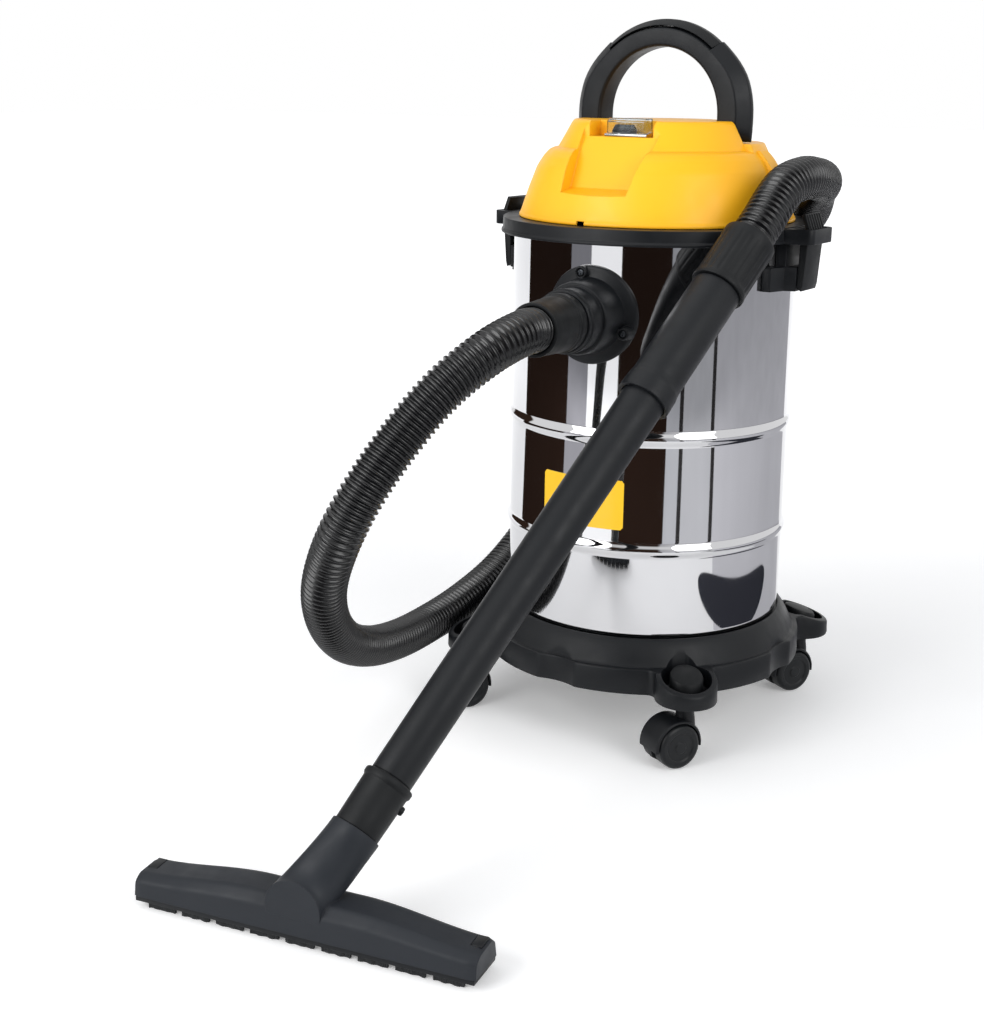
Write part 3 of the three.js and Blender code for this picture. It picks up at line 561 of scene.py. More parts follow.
# ---------- hose ----------
def hose_route():
    """Out of the inlet, down and round the left of the drum, up behind it and over the right ear."""
    start = inlet_point(CUFF_END + 0.3)
    end = wand_point(WAND_CUFF_END + 0.3)
    middle = [
        (14, -340, 449), (-8, -382, 418), (-32, -414, 375), (-52, -447, 325), (-70, -459, 283),
        (-97, -447, 233), (-124, -412, 184), (-150, -356, 138), (-170, -292, 108), (-186, -222, 91),
        (-198, -150, 85), (-197, -80, 94), (-192, -10, 116), (-187, 48, 150), (-171, 98, 210),
        (-138, 143, 285), (-90, 178, 355), (-35, 198, 420), (20, 201, 475), (66, 192, 510),
        (106, 166, 548), (132, 119, 575), (153, 80, 588), (163.5, 34, 594), (168, -8, 596),
        (166.5, -48, 588),
    ]
    middle = [Vector(p) for p in middle]
    return [start, inlet_point(CUFF_END + 22), *middle, wand_point(WAND_CUFF_END + 28), end]


def smooth_curve(route, step):
    """Points a step apart on a centripetal Catmull-Rom curve through the route."""
    ends = [route[0] * 2 - route[1], *route, route[-1] * 2 - route[-2]]
    dense = []
    for p0, p1, p2, p3 in zip(ends, ends[1:], ends[2:], ends[3:]):
        t0 = 0.0
        t1 = t0 + (p1 - p0).length ** 0.5
        t2 = t1 + (p2 - p1).length ** 0.5
        t3 = t2 + (p3 - p2).length ** 0.5
        for k in range(40):
            t = t1 + (t2 - t1) * k / 40
            a1 = p0 * ((t1 - t) / (t1 - t0)) + p1 * ((t - t0) / (t1 - t0))
            a2 = p1 * ((t2 - t) / (t2 - t1)) + p2 * ((t - t1) / (t2 - t1))
            a3 = p2 * ((t3 - t) / (t3 - t2)) + p3 * ((t - t2) / (t3 - t2))
            b1 = a1 * ((t2 - t) / (t2 - t0)) + a2 * ((t - t0) / (t2 - t0))
            b2 = a2 * ((t3 - t) / (t3 - t1)) + a3 * ((t - t1) / (t3 - t1))
            dense.append(b1 * ((t2 - t) / (t2 - t1)) + b2 * ((t - t1) / (t2 - t1)))
    dense.append(route[-1].copy())
    total = sum((b - a).length for a, b in zip(dense, dense[1:]))
    count = round(total / step)
    even, walked, k = [dense[0]], 0.0, 0
    for i in range(1, count):
        goal = total * i / count
        while walked + (dense[k + 1] - dense[k]).length < goal:
            walked += (dense[k + 1] - dense[k]).length
            k += 1
        even.append(dense[k].lerp(dense[k + 1], (goal - walked) / (dense[k + 1] - dense[k]).length))
    return even + [dense[-1]], total


def ribbed_hose():
    """A corrugated tube: close rings with rounded crests and narrow grooves between them."""
    line, length = smooth_curve(hose_route(), HOSE_RIB_PITCH / 7)
    side = Vector((0, 0, 1)).cross(line[1] - line[0]).normalized()
    rings = []
    walked = 0.0
    for i, centre in enumerate(line):
        ahead = line[min(i + 1, len(line) - 1)] - line[max(i - 1, 0)]
        ahead.normalize()
        side = (side - ahead * side.dot(ahead)).normalized()
        up = ahead.cross(side)
        if i:
            walked += (centre - line[i - 1]).length
        wave = 0.5 + 0.5 * math.cos(2 * math.pi * walked / HOSE_RIB_PITCH)
        r = HOSE_R - HOSE_RIB_DEPTH * (1 - wave) ** 1.25
        rings.append([centre + (side * c + up * d) * r for c, d in circle(28)])
    hose = own(skin("ribbed_hose", rings, capped=True, sharp=80), HOSE, "suction_hose")
    return hose, [at(*p) for p in line[::4]] + [at(*line[-1])], length


def inlet_cuff():
    outward = inlet_point(1, 0).normalized()
    place = upright_frame(inlet_point(0), outward)
    outline = [
        (18, 175), (21.5, 175), (21.5, 216.6), (29, 216.6), (29.4, 220), (29.4, 226), (28, 228),
        (28, 231), (27.6, 232), (27.2, 250), (26.4, 262), (26.2, CUFF_END + 1),
        (22.8, CUFF_END + 1), (22.4, CUFF_END - 4), (18, CUFF_END - 4),
    ]
    cuff = lathe("inlet_cuff", outline, 72, place, True, 0.8)
    return own(cuff, TRIM, "hose_inlet_cuff")


def wand_cuff():
    """Moulded cuff with shallow flutes along it and a plain rim at each end."""
    sides = 144
    place = upright_frame(WAND_START, WAND_DIRECTION)
    rows = [
        (22.2, 690, 0), (23.0, 691.5, 0), (26.0, 691.5, 0), (27.0, 690.5, 0), (27.2, 689, 0),
        (27.2, 682, 0), (26.8, 680.5, 0.6), (26.9, 660, 0.9), (27.0, 636, 0.9), (27.1, 632.5, 0.6),
        (27.6, 631, 0), (27.6, 627.5, 0), (27.0, 626.2, 0), (22.2, 626.2, 0),
    ]
    rings = []
    for r, d, depth in rows:
        ring = []
        for k, (c, e) in enumerate(circle(sides)):
            flute = depth * max(0.0, math.cos(36 * math.pi * k / sides)) ** 2
            ring.append(place @ Vector(((r - flute) * c, (r - flute) * e, d)))
        rings.append(ring)
    return own(skin("wand_cuff", rings, looped=True, sharp=40), TRIM, "hose_wand_cuff")


hose, hose_line, hose_length = ribbed_hose()
cuffs = [inlet_cuff(), wand_cuff()]


# ---------- drum ----------
def bead(z):
    """The swell of a rolled bead, as (radius, height) pairs."""
    return [
        (TANK_R + BEAD_OUT * (0.5 + 0.5 * math.cos(math.pi * t / 8)), z + t * 1.15)
        for t in range(-8, 9)
    ]


def drum():
    outside = [(0, TANK_BOTTOM), (TANK_R - 8, TANK_BOTTOM)]
    curve = [(8 * math.sin(a * RAD), -8 * math.cos(a * RAD)) for a in range(10, 91, 10)]
    outside += [(TANK_R - 8 + r, TANK_BOTTOM + 8 + z) for r, z in curve]
    for z in BEAD_Z:
        outside += bead(z)
    outside.append((TANK_R, TANK_TOP))
    wall = TANK_R - 1.0
    floor = TANK_BOTTOM + 1
    inside = [(wall, TANK_TOP), (wall, floor + 8), (TANK_R - 10, floor), (0, floor)]
    shell = lathe("steel_drum", outside + inside, 192, sharp=50)
    return own(shell, STEEL, "tank_shell")


def front_label():
    """A plain generic label with rounded corners, wrapped on the drum."""
    low, high, centre, half = 238.5, 291.5, 1.6, 18.0
    columns = 40
    points, faces = [], []
    for layer in (0.05, 0.35):
        for i in range(columns + 1):
            a = centre - half + 2 * half * i / columns
            edge = min(i, columns - i) / columns * 2 * half * RAD * TANK_R
            trim = 3 - math.sqrt(max(0.0, 9 - max(0.0, 3 - edge) ** 2))
            for z in (low + trim, high - trim):
                points.append(around(TANK_R + layer, a, z))
    count = 2 * (columns + 1)
    for i in range(columns):
        a, b = 2 * i, 2 * i + 2
        faces.append([count + a, count + b, count + b + 1, count + a + 1])
        faces.append([a, a + 1, b + 1, b])
        faces.append([a, b, count + b, count + a])
        faces.append([a + 1, count + a + 1, count + b + 1, b + 1])
    faces.append([0, count, count + 1, 1])
    faces.append([count - 2, count - 1, 2 * count - 1, 2 * count - 2])
    return own(object_of("drum_label", points, faces), LABEL, "tank_label")


drum()
front_label()


# ---------- inlet flange ----------
def inlet_flange():
    """A round flange that hugs the drum, with a stepped collar for the hose."""
    outward = inlet_point(1, 0).normalized()
    side = Vector((-outward.y, outward.x, 0))
    # (radius, depth, hug): hug 1 follows the drum's curve, 0 is a plain ring about the hose's axis.
    outline = [
        (FLANGE_R, 0.0, 1), (FLANGE_R, 2.6, 1), (FLANGE_R - 0.5, 3.8, 1), (FLANGE_R - 1.8, 4.6, 1),
        (46, 5.0, 1), (40, 5.4, 1), (38.6, 6.0, 1), (37.8, 8.0, 0.8), (37.4, 168, 0),
        (37.0, 176, 0), (36.5, 186, 0), (35.6, 189.4, 0), (34.6, 190.2, 0), (32.6, 190.3, 0),
        (32.1, 191.5, 0), (31.6, 203, 0), (31.5, 205, 0), (32.5, 205.6, 0), (32.5, 210, 0),
        (31.2, 211, 0), (31, 215, 0), (30.2, 216, 0), (27, 216, 0), (26, 215, 0), (26, 151.2, 0),
    ]
    rings = []
    for r, d, hug in outline:
        ring = []
        for c, e in circle(128):
            curved = math.sqrt((TANK_R + 0.4) ** 2 - (r * c) ** 2)
            depth = hug * curved + (1 - hug) * (TANK_R + 5) + d if hug else d
            ring.append(outward * depth + side * (r * c) + Vector((0, 0, INLET_Z + r * e)))
        rings.append(ring)
    flange = skin("inlet_ring", rings, sharp=38)
    bosses = []
    for i, degrees in enumerate((100, 220, 340)):
        up = Vector((0, 0, BOSS_AT_R * math.sin(degrees * RAD)))
        offset = side * (BOSS_AT_R * math.cos(degrees * RAD)) + up
        place = upright_frame(inlet_point(0) + offset, outward)
        boss = [(7.4, 150), (6.9, 157), (6.6, 162.5), (6.0, 163.6)]
        boss += [(5.0, 163.8), (4.4, 163.4), (4.2, 161), (0, 161)]
        bosses.append(lathe(f"boss_{i}", boss, 40, place, radius=0.3))
        head = [(0, 163.0), (1.6, 163.1), (3.0, 162.8), (3.7, 162.0), (3.7, 160.9), (0, 160.9)]
        screw = lathe(f"screw_head_{i + 1}", head, 40, place, radius=0.25)
        for spin in (20, 110):
            slot = block("slot", -2.6, 2.6, -0.45, 0.45, 162.0, 165)
            turn = AXIS_MATRIX @ place @ Matrix.Rotation(spin * RAD, 4, "Z") @ AXIS_MATRIX.inverted()
            slot.data.transform(turn)
            cut(screw, slot)
        own(screw, SCREW, f"inlet_screw_{i + 1}")
    return own(merged("inlet_flange_detailed", flange, *bosses), BLACK, "inlet_flange")


AXIS_MATRIX = Matrix.Translation(AXIS) @ Matrix.Scale(MM, 4)
inlet_flange()


# ---------- dolly ----------
def dolly_outline():
    """The dolly seen from above: a round base with dents in its side and four lobes blended into it."""
    blend = 9.0
    reach = DOLLY_R + blend
    arm = LOBE_R + blend
    meet = math.acos((LOBE_AT_R**2 + reach**2 - arm**2) / (2 * LOBE_AT_R * reach)) / RAD
    outline = []
    for index, lobe in enumerate(LOBE_ANGLES):
        start, end = lobe - meet, lobe + meet
        centre = around(LOBE_AT_R, lobe)
        section = []
        for mark, sign in ((start, -1), (end, 1)):
            hollow = around(reach, mark)
            to_base = math.atan2(-hollow.y, -hollow.x)
            to_lobe = math.atan2(centre.y - hollow.y, centre.x - hollow.x)
            sweep = (to_lobe - to_base + math.pi) % (2 * math.pi) - math.pi
            turns = [to_base + sweep * k / 6 for k in range(7)]
            curve = [(hollow.x + blend * math.cos(t), hollow.y + blend * math.sin(t)) for t in turns]
            section.append(curve if sign < 0 else curve[::-1])
        first = Vector(section[0][-1]) - centre.xy
        last = Vector(section[1][0]) - centre.xy
        a0 = math.atan2(first.y, first.x)
        span = (math.atan2(last.y, last.x) - a0) % (2 * math.pi)
        turns = [a0 + span * k / 40 for k in range(1, 40)]
        round_part = [(centre.x + LOBE_R * math.cos(t), centre.y + LOBE_R * math.sin(t)) for t in turns]
        lobe_part = section[0] + round_part + section[1]
        count = len(lobe_part)
        outline += [(p, start + (end - start) * k / (count - 1)) for k, p in enumerate(lobe_part)]
        following = LOBE_ANGLES[(index + 1) % 4] + (360 if index == 3 else 0) - meet
        middle = (end + following) / 2
        for k in range(1, 60):
            a = end + (following - end) * k / 60
            r = DOLLY_R
            off = (a - middle) * RAD
            reach_in = DENT_R**2 - (DENT_AT_R * math.sin(off)) ** 2
            if reach_in > 0:
                r = min(r, DENT_AT_R * math.cos(off) - math.sqrt(reach_in))
            p = around(r, a)
            outline.append(((p.x, p.y), a))
    return outline


def drawn_in(outline, distance, height):
    """The outline moved inwards by a distance along its own normals."""
    moved = []
    count = len(outline)
    for k in range(count):
        before, after = Vector(outline[k - 1][0]), Vector(outline[(k + 1) % count][0])
        along = (after - before).normalized()
        inward = Vector((-along.y, along.x))
        x, y = outline[k][0]
        if inward.dot(Vector((x, y))) > 0 and abs(inward.dot(Vector((x, y)).normalized())) > 0.99:
            inward = -inward
        moved.append(Vector((x + inward.x * distance, y + inward.y * distance, height)))
    return moved


def lobe_top(xy):
    """Height of the lobe's top at a point: level near the drum, then falling outwards."""
    reach = max(Vector(around(1, lobe).xy).dot(xy) for lobe in LOBE_ANGLES)
    return min(95.4, LOBE_TOP - LOBE_SLOPE * (reach - LOBE_AT_R))


def dolly():
    outline = dolly_outline()
    shelf = [
        (153.3, 119.4), (153.3, 121.0), (153.9, 121.6), (155.6, 121.6), (156.6, 121.0),
        (158.5, 119.2), (162, 114.5), (166, 107.5), (169, 101.5), (170.6, 98.2), (171.8, 96.2),
    ]
    # The rim as (inset, depth below the lobe's top) and the wall as (inset, height).
    rim = [(2.6, 0.0), (0.9, 0.7), (0.0, 2.6)]
    wall = [(0.0, 76), (-0.3, 69), (0.2, 67.4), (1.2, DOLLY_BOTTOM)]
    rows = [[around(min(r, math.hypot(*xy) - 3.1), a, z) for xy, a in outline] for r, z in shelf]
    crest = drawn_in(outline, rim[0][0], 0)
    last = rows[-1]
    for share in (0.25, 0.5, 0.75):
        between = [a.xy.lerp(b.xy, share) for a, b in zip(last, crest)]
        rows.append([Vector((*xy, lobe_top(xy))) for xy in between])
    for inset, drop in rim:
        rows.append([Vector((p.x, p.y, lobe_top(p.xy) - drop)) for p in drawn_in(outline, inset, 0)])
    rows += [drawn_in(outline, inset, z) for inset, z in wall]
    under = ((166, DOLLY_BOTTOM), (165, 70), (160, 106), (0.5, 108), (0.5, 117.8), (152.9, 118.0))
    rows += [[around(r, a, z) for _, a in outline] for r, z in under]
    body = skin("dolly_detailed", rows, looped=True, sharp=34)
    for degrees in LOBE_ANGLES:
        c = around(LOBE_AT_R, degrees)
        place = upright_frame((c.x, c.y, 0))
        pocket = [(0, POCKET_FLOOR), (POCKET_R - 2, POCKET_FLOOR), (POCKET_R, POCKET_FLOOR + 2)]
        pocket += [(POCKET_R, 140), (0, 140)]
        cut(body, lathe("pocket", pocket, 72, place))
    own(body, BLACK, "dolly_base")
    for i, degrees in enumerate(LOBE_ANGLES):
        c = around(LOBE_AT_R, degrees)
        side = [(0, POCKET_FLOOR + 0.3), (CAP_R, POCKET_FLOOR + 0.3), (CAP_R, 92.5)]
        side += [(CAP_R - 1.2, 95), (CAP_R - 4, 96), (0, 96)]
        plug = lathe(f"lobe_plug_{i + 1}", side, 64, upright_frame((c.x, c.y, 0)))
        heading = around(1, degrees).xy
        for vertex in plug.data.vertices:
            if vertex.co.z > 90 * MM:
                beyond = heading.dot((vertex.co - AXIS).xy / MM) - LOBE_AT_R
                vertex.co.z -= LOBE_SLOPE * beyond * MM
        own(plug, TRIM, f"caster_cap_{i + 1}")


dolly()


# ---------- casters ----------
def caster(index):
    c = around(LOBE_AT_R, LOBE_ANGLES[index])
    trail = around(CASTER_TRAIL, CASTER_TRAIL_ANGLE)
    hub = Vector((c.x + trail.x, c.y + trail.y, WHEEL_R))
    axle = around(1, CASTER_TRAIL_ANGLE + 90)
    half = WHEEL_WIDTH / 2
    along = upright_frame(hub, axle)

    def level(z):
        body = block("level", -60, 60, -60, 60, -40, z)
        turn = Matrix.Translation(at(hub.x, hub.y, 0)) @ Matrix.Rotation(CASTER_TRAIL_ANGLE * RAD, 4, "Z")
        body.data.transform(turn @ Matrix.Translation(at(0, 0, 0)).inverted())
        return body

    side = [(0, half - 3), (27, half - 3), (28.2, half - 4.5)]
    shell = lathe("hood", [(r, -d) for r, d in side] + side[::-1], 72, along, radius=0.6)
    neck_top = DOLLY_BOTTOM - 0.6
    neck_form = [(0, 30), (12, 30), (10.5, 48), (9.6, 54), (9.5, neck_top), (0, neck_top)]
    unite(shell, lathe("neck", neck_form, 48, upright_frame((c.x, c.y, 0)), radius=1))
    room = [(0, -half - 14), (25.4, -half - 14), (25.4, half + 14), (0, half + 14)]
    cut(shell, level(21), lathe("room", room, 72, along))
    web = lathe("web", [(0, -3), (26.4, -3), (26.4, 3), (0, 3)], 64, along)
    cut(web, level(11))
    stem = bar("stem", (c.x, c.y, DOLLY_BOTTOM - 1), (c.x, c.y, STEM_TOP), 5.7)
    hood = merged(f"caster_hood_shell_{index + 1}", shell, web, stem)
    own(hood, BLACK, f"caster_hood_{index + 1}")

    side = [(0, half), (6, half), (7, half - 1.2), (15, half - 1.8), (16.5, half - 0.4)]
    side += [(20.5, half - 0.2), (23, half - 1.6), (WHEEL_R, half - 4), (WHEEL_R, 5), (23, 3.6), (4, 3.6)]
    tread = [(r, -d) for r, d in side] + side[::-1]
    wheel = lathe(f"caster_twin_wheel_{index + 1}", tread, 72, along, radius=0.5)
    own(wheel, WHEEL, f"caster_wheel_{index + 1}")


for number in range(4):
    caster(number)


# ---------- latches ----------
def refined(node, name, material, width=0.6, angle=35):
    """The CAD node's own shape with its flat faces joined up and its edges rounded."""
    mesh = frame["nodes"][node].data.copy()
    mesh.name = name
    shaped = bmesh.new()
    shaped.from_mesh(mesh)
    bmesh.ops.remove_doubles(shaped, verts=shaped.verts, dist=1e-6)
    bmesh.ops.dissolve_limit(shaped, angle_limit=2 * RAD, verts=shaped.verts, edges=shaped.edges)
    shaped.to_mesh(mesh)
    shaped.free()
    piece = placed(name, mesh)
    bevelled(piece, width, 2, angle)
    return own(piece, material, node)


def latches():
    for side in ("left", "right"):
        refined(f"latch_catch_{side}", f"catch_{side}", BLACK, 0.7, 20)
        refined(f"latch_lever_{side}", f"lever_{side}", TRIM, 0.45, 25)
        dress(f"latch_pin_{side}", DARK_STEEL)


latches()


# ---------- head base ----------
def head_base():
    outline = [
        (FAN_EYE_R, 542), (147, 542), (147, RING_BOTTOM), (149.5, RING_BOTTOM), (149.5, 541.6),
        (156.5, 541.6), (156.5, RING_BOTTOM), (RING_R, RING_BOTTOM), (RING_R, 534.6),
        (165.0, 536.2), (164.5, RING_TOP - 0.4), (163.5, RING_TOP), (FAN_EYE_R, RING_TOP),
    ]
    rim = lathe("rim", outline, 192, None, True, 0.7)
    ears = []
    for flip in (False, True):
        shape = [(158, -32), (188, -27), (192, -23), (192, 23), (188, 27), (158, 32)]
        ear = slab("ear", shape, RING_BOTTOM, RING_TOP - 1, "xy", 2.5)
        cut(ear, block("slot", 168.6, 188.5, -20.4, 20.4, 520, 560))
        bevelled(ear, 0.7)
        gusset = slab("gusset", [(19, 532.4), (26, 532.4), (19, 517)], 163.5, 166.4, "yz", 0.6)
        for piece in (ear, gusset):
            ears.append(mirrored(piece) if flip else piece)
    return own(merged("head_base_detailed", rim, *ears), BLACK, "head_base")


head_base()
dress("head_gasket", GASKET)


# ---------- dome ----------
def dome_form(inset):
    """The dome's outer shape, or the same shape drawn in by the wall's thickness."""
    foot = DOME_FOOT - (5 if inset else 0)
    back = HANDLE_Y - HANDLE_HALF - 1.5
    rows = [(147.5, foot), (147.5, 551.5), (146, 553), (143.8, 560), (137, 580)]
    rows += [(129, 601), (122, 612), (116, 618.5), (110, 621)]
    top = TIER_TOP - inset
    low = [(0, foot)] + [(r - inset, z - (inset if z > 612 else 0)) for r, z in rows] + [(0, 621 - inset)]
    body = lathe("dome_form", low, 160, radius=2.5)
    step = [(0, 610 - inset), (112 - inset, 612 - inset), (TIER_R + 4 - inset, top - 3)]
    tier = lathe("tier", step + [(TIER_R + 1 - inset, top), (0, top)], 160, radius=1.5)
    cut(tier, block("behind", -150, 150, back - inset, 150, 590, 660))
    step = [(0, 610 - inset), (120 - inset, 610 - inset), (111 - inset, DECK_Z - inset), (0, DECK_Z - inset)]
    deck = lathe("deck", step, 160, radius=2.0)
    cut(deck, block("ahead", -150, 150, -150, back + inset, 590, 660))
    hump_place = upright_frame((0, HANDLE_Y, 0))
    step = [(0, 610), (HUMP_R + 1 - inset, 610), (HUMP_R - inset, top), (0, top)]
    hump = lathe("hump", step, 120, hump_place, radius=2.0)
    cut(hump, block("ahead", -150, 150, -150, back - 3.5, 590, 660))
    shoulders = []
    for flip in (False, True):
        shape = [(100, foot), (146 - inset, foot), (143.5 - inset, 575), (136 - inset, 600)]
        shape += [(118 - inset, 621.5 - inset), (100, 621.5 - inset)]
        shoulder = slab("shoulder", shape, inset - 2, 16 - inset, "xz", 1.5)
        shoulders.append(mirrored(shoulder) if flip else shoulder)
    unite(body, tier, deck, hump, *shoulders)
    sill = 634 - inset
    outline = [(-64 + inset, 700), (-64 + inset, sill), (-140, sill), (-140, 700)]
    niche = slab("niche", outline, -35 - inset, 39 + inset, "yz")
    outline = [(-86 + inset, 700), (-86 + inset, sill), (-96 + inset, 618)]
    outline += [(-112 + inset, 583 - inset), (-160, 573 - inset), (-160, 700)]
    recess = slab("recess", outline, -41 - inset, 35 + inset, "yz")
    for vertex in recess.data.vertices:
        if vertex.co.x > AXIS.x:
            vertex.co.x += 0.19 * (vertex.co.z - 577 * MM)
    cut(body, niche, recess)
    return body


def dome():
    shell = dome_form(0)
    cut(shell, dome_form(DOME_WALL))
    notch = block("notch", -4.5, 4.5, -160, -138, 540, 552.5)
    turn = Matrix.Translation(AXIS) @ Matrix.Rotation(-3 * RAD, 4, "Z") @ Matrix.Translation(-AXIS)
    notch.data.transform(turn)
    cut(
        shell,
        bar("bore", (-80, HANDLE_Y, HANDLE_PIVOT_Z), (80, HANDLE_Y, HANDLE_PIVOT_Z), 2.9),
        block("grille", -36, 36, 120, 160, 562, 596),
        bar("gland", around(120, 140, 563), around(160, 140, 563), 7.8),
        notch,
    )
    return own(shell, YELLOW, "motor_dome")


dome()
refined("exhaust_grille", "rear_grille", BLACK, 0.35, 30)
gland_form = [(3.6, 128), (7, 128), (7, 148.4), (9.4, 148.4), (9.2, 150.5), (7.4, 152), (7.4, 153)]
gland_form += [(8.2, 153.6), (8.0, 155), (6.9, 156), (6.5, 158), (3.6, 158)]
gland = lathe("cable_gland", gland_form, 40, upright_frame((0, 0, 563), around(1, 140)), True, 0.4)
own(gland, TRIM, "cord_gland")


# ---------- handle ----------
def handle_section(outer):
    """The handle's section as (radius, depth) pairs, half of it mirrored from the other."""
    shoulder = outer - 11.5 if outer > 95 else outer - 2.2
    half = [(HANDLE_INNER, HANDLE_HALF - 3), (HANDLE_INNER + 2, HANDLE_HALF)]
    half += [(shoulder, HANDLE_HALF), (outer, 3)]
    corners = [(r, -y) for r, y in half] + half[::-1]
    return soften(corners, 1.6, 3, True)


def swept(name, stations):
    """Skins the sections of a list of (section, turn, drop, squeeze) stations along the handle's arch."""
    rings = []
    for section, degrees, drop, squeeze in stations:
        c = math.cos(degrees * RAD)
        d = math.sin(degrees * RAD)
        rings.append([(r * d, HANDLE_Y + y * squeeze, HANDLE_ARC_Z + r * c - drop) for r, y in section])
    return skin(name, rings, capped=True, sharp=26)


def leg_section(degrees):
    """The section away from the grip, which widens towards the legs' feet."""
    share = min(1.0, (abs(degrees) - GRIP_ANGLE) / 30)
    return handle_section(HANDLE_OUTER + LEG_SWELL * share * share * (3 - 2 * share))


def handle():
    plain = leg_section(90)
    seat = handle_section(HANDLE_OUTER - 9.3)
    leg = HANDLE_ARC_Z - HANDLE_PIVOT_Z
    foot = []
    for k in range(9):
        down = HANDLE_HALF * math.sin((80 - 10 * k) * RAD)
        foot.append((plain, down + leg, max(0.08, math.sqrt(1 - (down / HANDLE_HALF) ** 2))))
    stations = [(s, -90, d, q) for s, d, q in foot]
    stations += [(leg_section(a), a, 0, 1) for a in range(-90, -GRIP_ANGLE + 1, 4)]
    stations += [(seat, a, 0, 1) for a in range(-GRIP_ANGLE, GRIP_ANGLE + 1, 3)]
    stations += [(leg_section(a), a, 0, 1) for a in range(GRIP_ANGLE, 91, 4)]
    stations += [(s, 90, d, q) for s, d, q in reversed(foot)]
    arch = swept("handle_arch", stations)
    for x in (-HANDLE_OUTER - 1, HANDLE_INNER - 1):
        end = x + 22 if x < 0 else x + 20
        cut(arch, bar("bore", (x, HANDLE_Y, HANDLE_PIVOT_Z), (end, HANDLE_Y, HANDLE_PIVOT_Z), 2.8))
    own(arch, BLACK, "carry_handle")
    half_pad = [(HANDLE_OUTER - 8.9, 13.2), (HANDLE_OUTER - 8.4, 14.2), (HANDLE_OUTER - 2, 3.6)]
    pad_corners = [(r, -y) for r, y in half_pad] + half_pad[::-1]
    pad = soften(pad_corners, 0.8, 3, True)
    reach = GRIP_ANGLE - 0.3
    stations = [(pad, -reach + 2 * reach * k / 40, 0, 1) for k in range(41)]
    own(swept("handle_pad", stations), TRIM, "handle_grip")
    dress("handle_pin_left", DARK_STEEL)
    dress("handle_pin_right", DARK_STEEL)


handle()


# ---------- switch ----------
refined("switch_plate", "switch_frame", SILVER, 0.5)
refined("switch_rocker", "switch_paddle", ROCKER, 0.9, 20)
refined("switch_cover", "switch_boot", CLEAR, 0.5)


# ---------- inside ----------
def filter_sleeve():
    """A pleated paper cartridge."""
    pleats, sides = 48, 192
    rings = []
    for r, z, deep in ((44.9, 404.2, 0), (51.6, 404.2, 1), (51.6, 533.8, 1), (44.9, 533.8, 0)):
        ring = []
        for k, (c, d) in enumerate(circle(sides)):
            fold = deep * 2.6 * abs(math.sin(math.pi * k * pleats / sides))
            ring.append(((r - fold) * c, (r - fold) * d, z))
        rings.append(ring)
    return own(skin("pleated_filter", rings, looped=True, sharp=20), FILTER, "filter_sleeve")


filter_sleeve()
float_turns = [a * RAD for a in range(0, 181, 5)]
half_circle = [(FLOAT_R * math.sin(a), FLOAT_Z - FLOAT_R * math.cos(a)) for a in float_turns]
own(lathe("float_ball_round", half_circle, 72), FLOAT, "float_ball")
for node, material in (
    ("inlet_deflector", BLACK), ("fan_housing", GREY), ("impeller", ALUMINIUM),
    ("motor_can", DARK_STEEL), ("motor_rotor", COPPER), ("float_cage", GREY),
    ("filter_clamp", BLACK),
):
    dress(node, material)


# ---------- wand ----------
def on_wand(name, profile, radius=0.8):
    """A closed profile turned about the wand's axis."""
    return lathe(name, profile, 96, upright_frame(WAND_START, WAND_DIRECTION), True, radius)


def wand():
    upper = [
        (22.4, 486), (26.4, 486), (26.5, 490), (26.0, 503), (25.2, 507), (24.7, 512), (24.6, 625.4),
        (21.6, 625.4), (21.6, 655), (18.5, 655), (18.5, 540), (22.4, 540),
    ]
    own(on_wand("upper_tube", upper), WAND, "wand_upper_tube")
    lower = [(16, 40), (18.4, 40), (18.4, 68), (19.2, 68), (20.1, 240), (21.8, 495), (21.8, 536), (16, 536)]
    own(on_wand("lower_tube", lower), WAND, "wand_lower_tube")
    collar = [(19.2, 16), (20.6, 16), (20.9, 30), (21.4, 59), (22.4, 60.4)]
    collar += [(22.9, 62), (22.9, 65), (22.2, 66.3), (19.4, 66.3)]
    coupling = on_wand("coupling_form", collar, 0.5)
    spot = wand_point(BUTTON_AT)
    cut(coupling, bar("bore", spot + BUTTON_SIDE * 17.5, spot + BUTTON_SIDE * 30, 4.6))
    own(coupling, TRIM, "nozzle_coupling")
    cap = [(0, 20.2), (4.1, 20.2), (4.1, 22.6), (3.4, 24.2), (0, 24.7)]
    button = lathe("lock_button_cap", cap, 40, upright_frame(spot, BUTTON_SIDE), radius=0.6)
    own(button, BLACK, "wand_button")


wand()


# ---------- nozzle ----------
BOX_FACES = ((3, 2, 1, 0), (4, 5, 6, 7), (0, 1, 5, 4), (1, 2, 6, 5), (2, 3, 7, 6), (3, 0, 4, 7))


def on_nozzle(u, n, z):
    a = NOZZLE_ANGLE * RAD
    x = NOZZLE_LEFT[0] + u * math.cos(a) - n * math.sin(a)
    y = NOZZLE_LEFT[1] + u * math.sin(a) + n * math.cos(a)
    return Vector((x, y, z))


def swell(u):
    """0 at the nozzle's ends and 1 over its middle."""
    t = min(u, NOZZLE_LENGTH - u) / (NOZZLE_LENGTH * 0.36)
    t = min(1.0, max(0.0, t))
    return t * t * (3 - 2 * t)


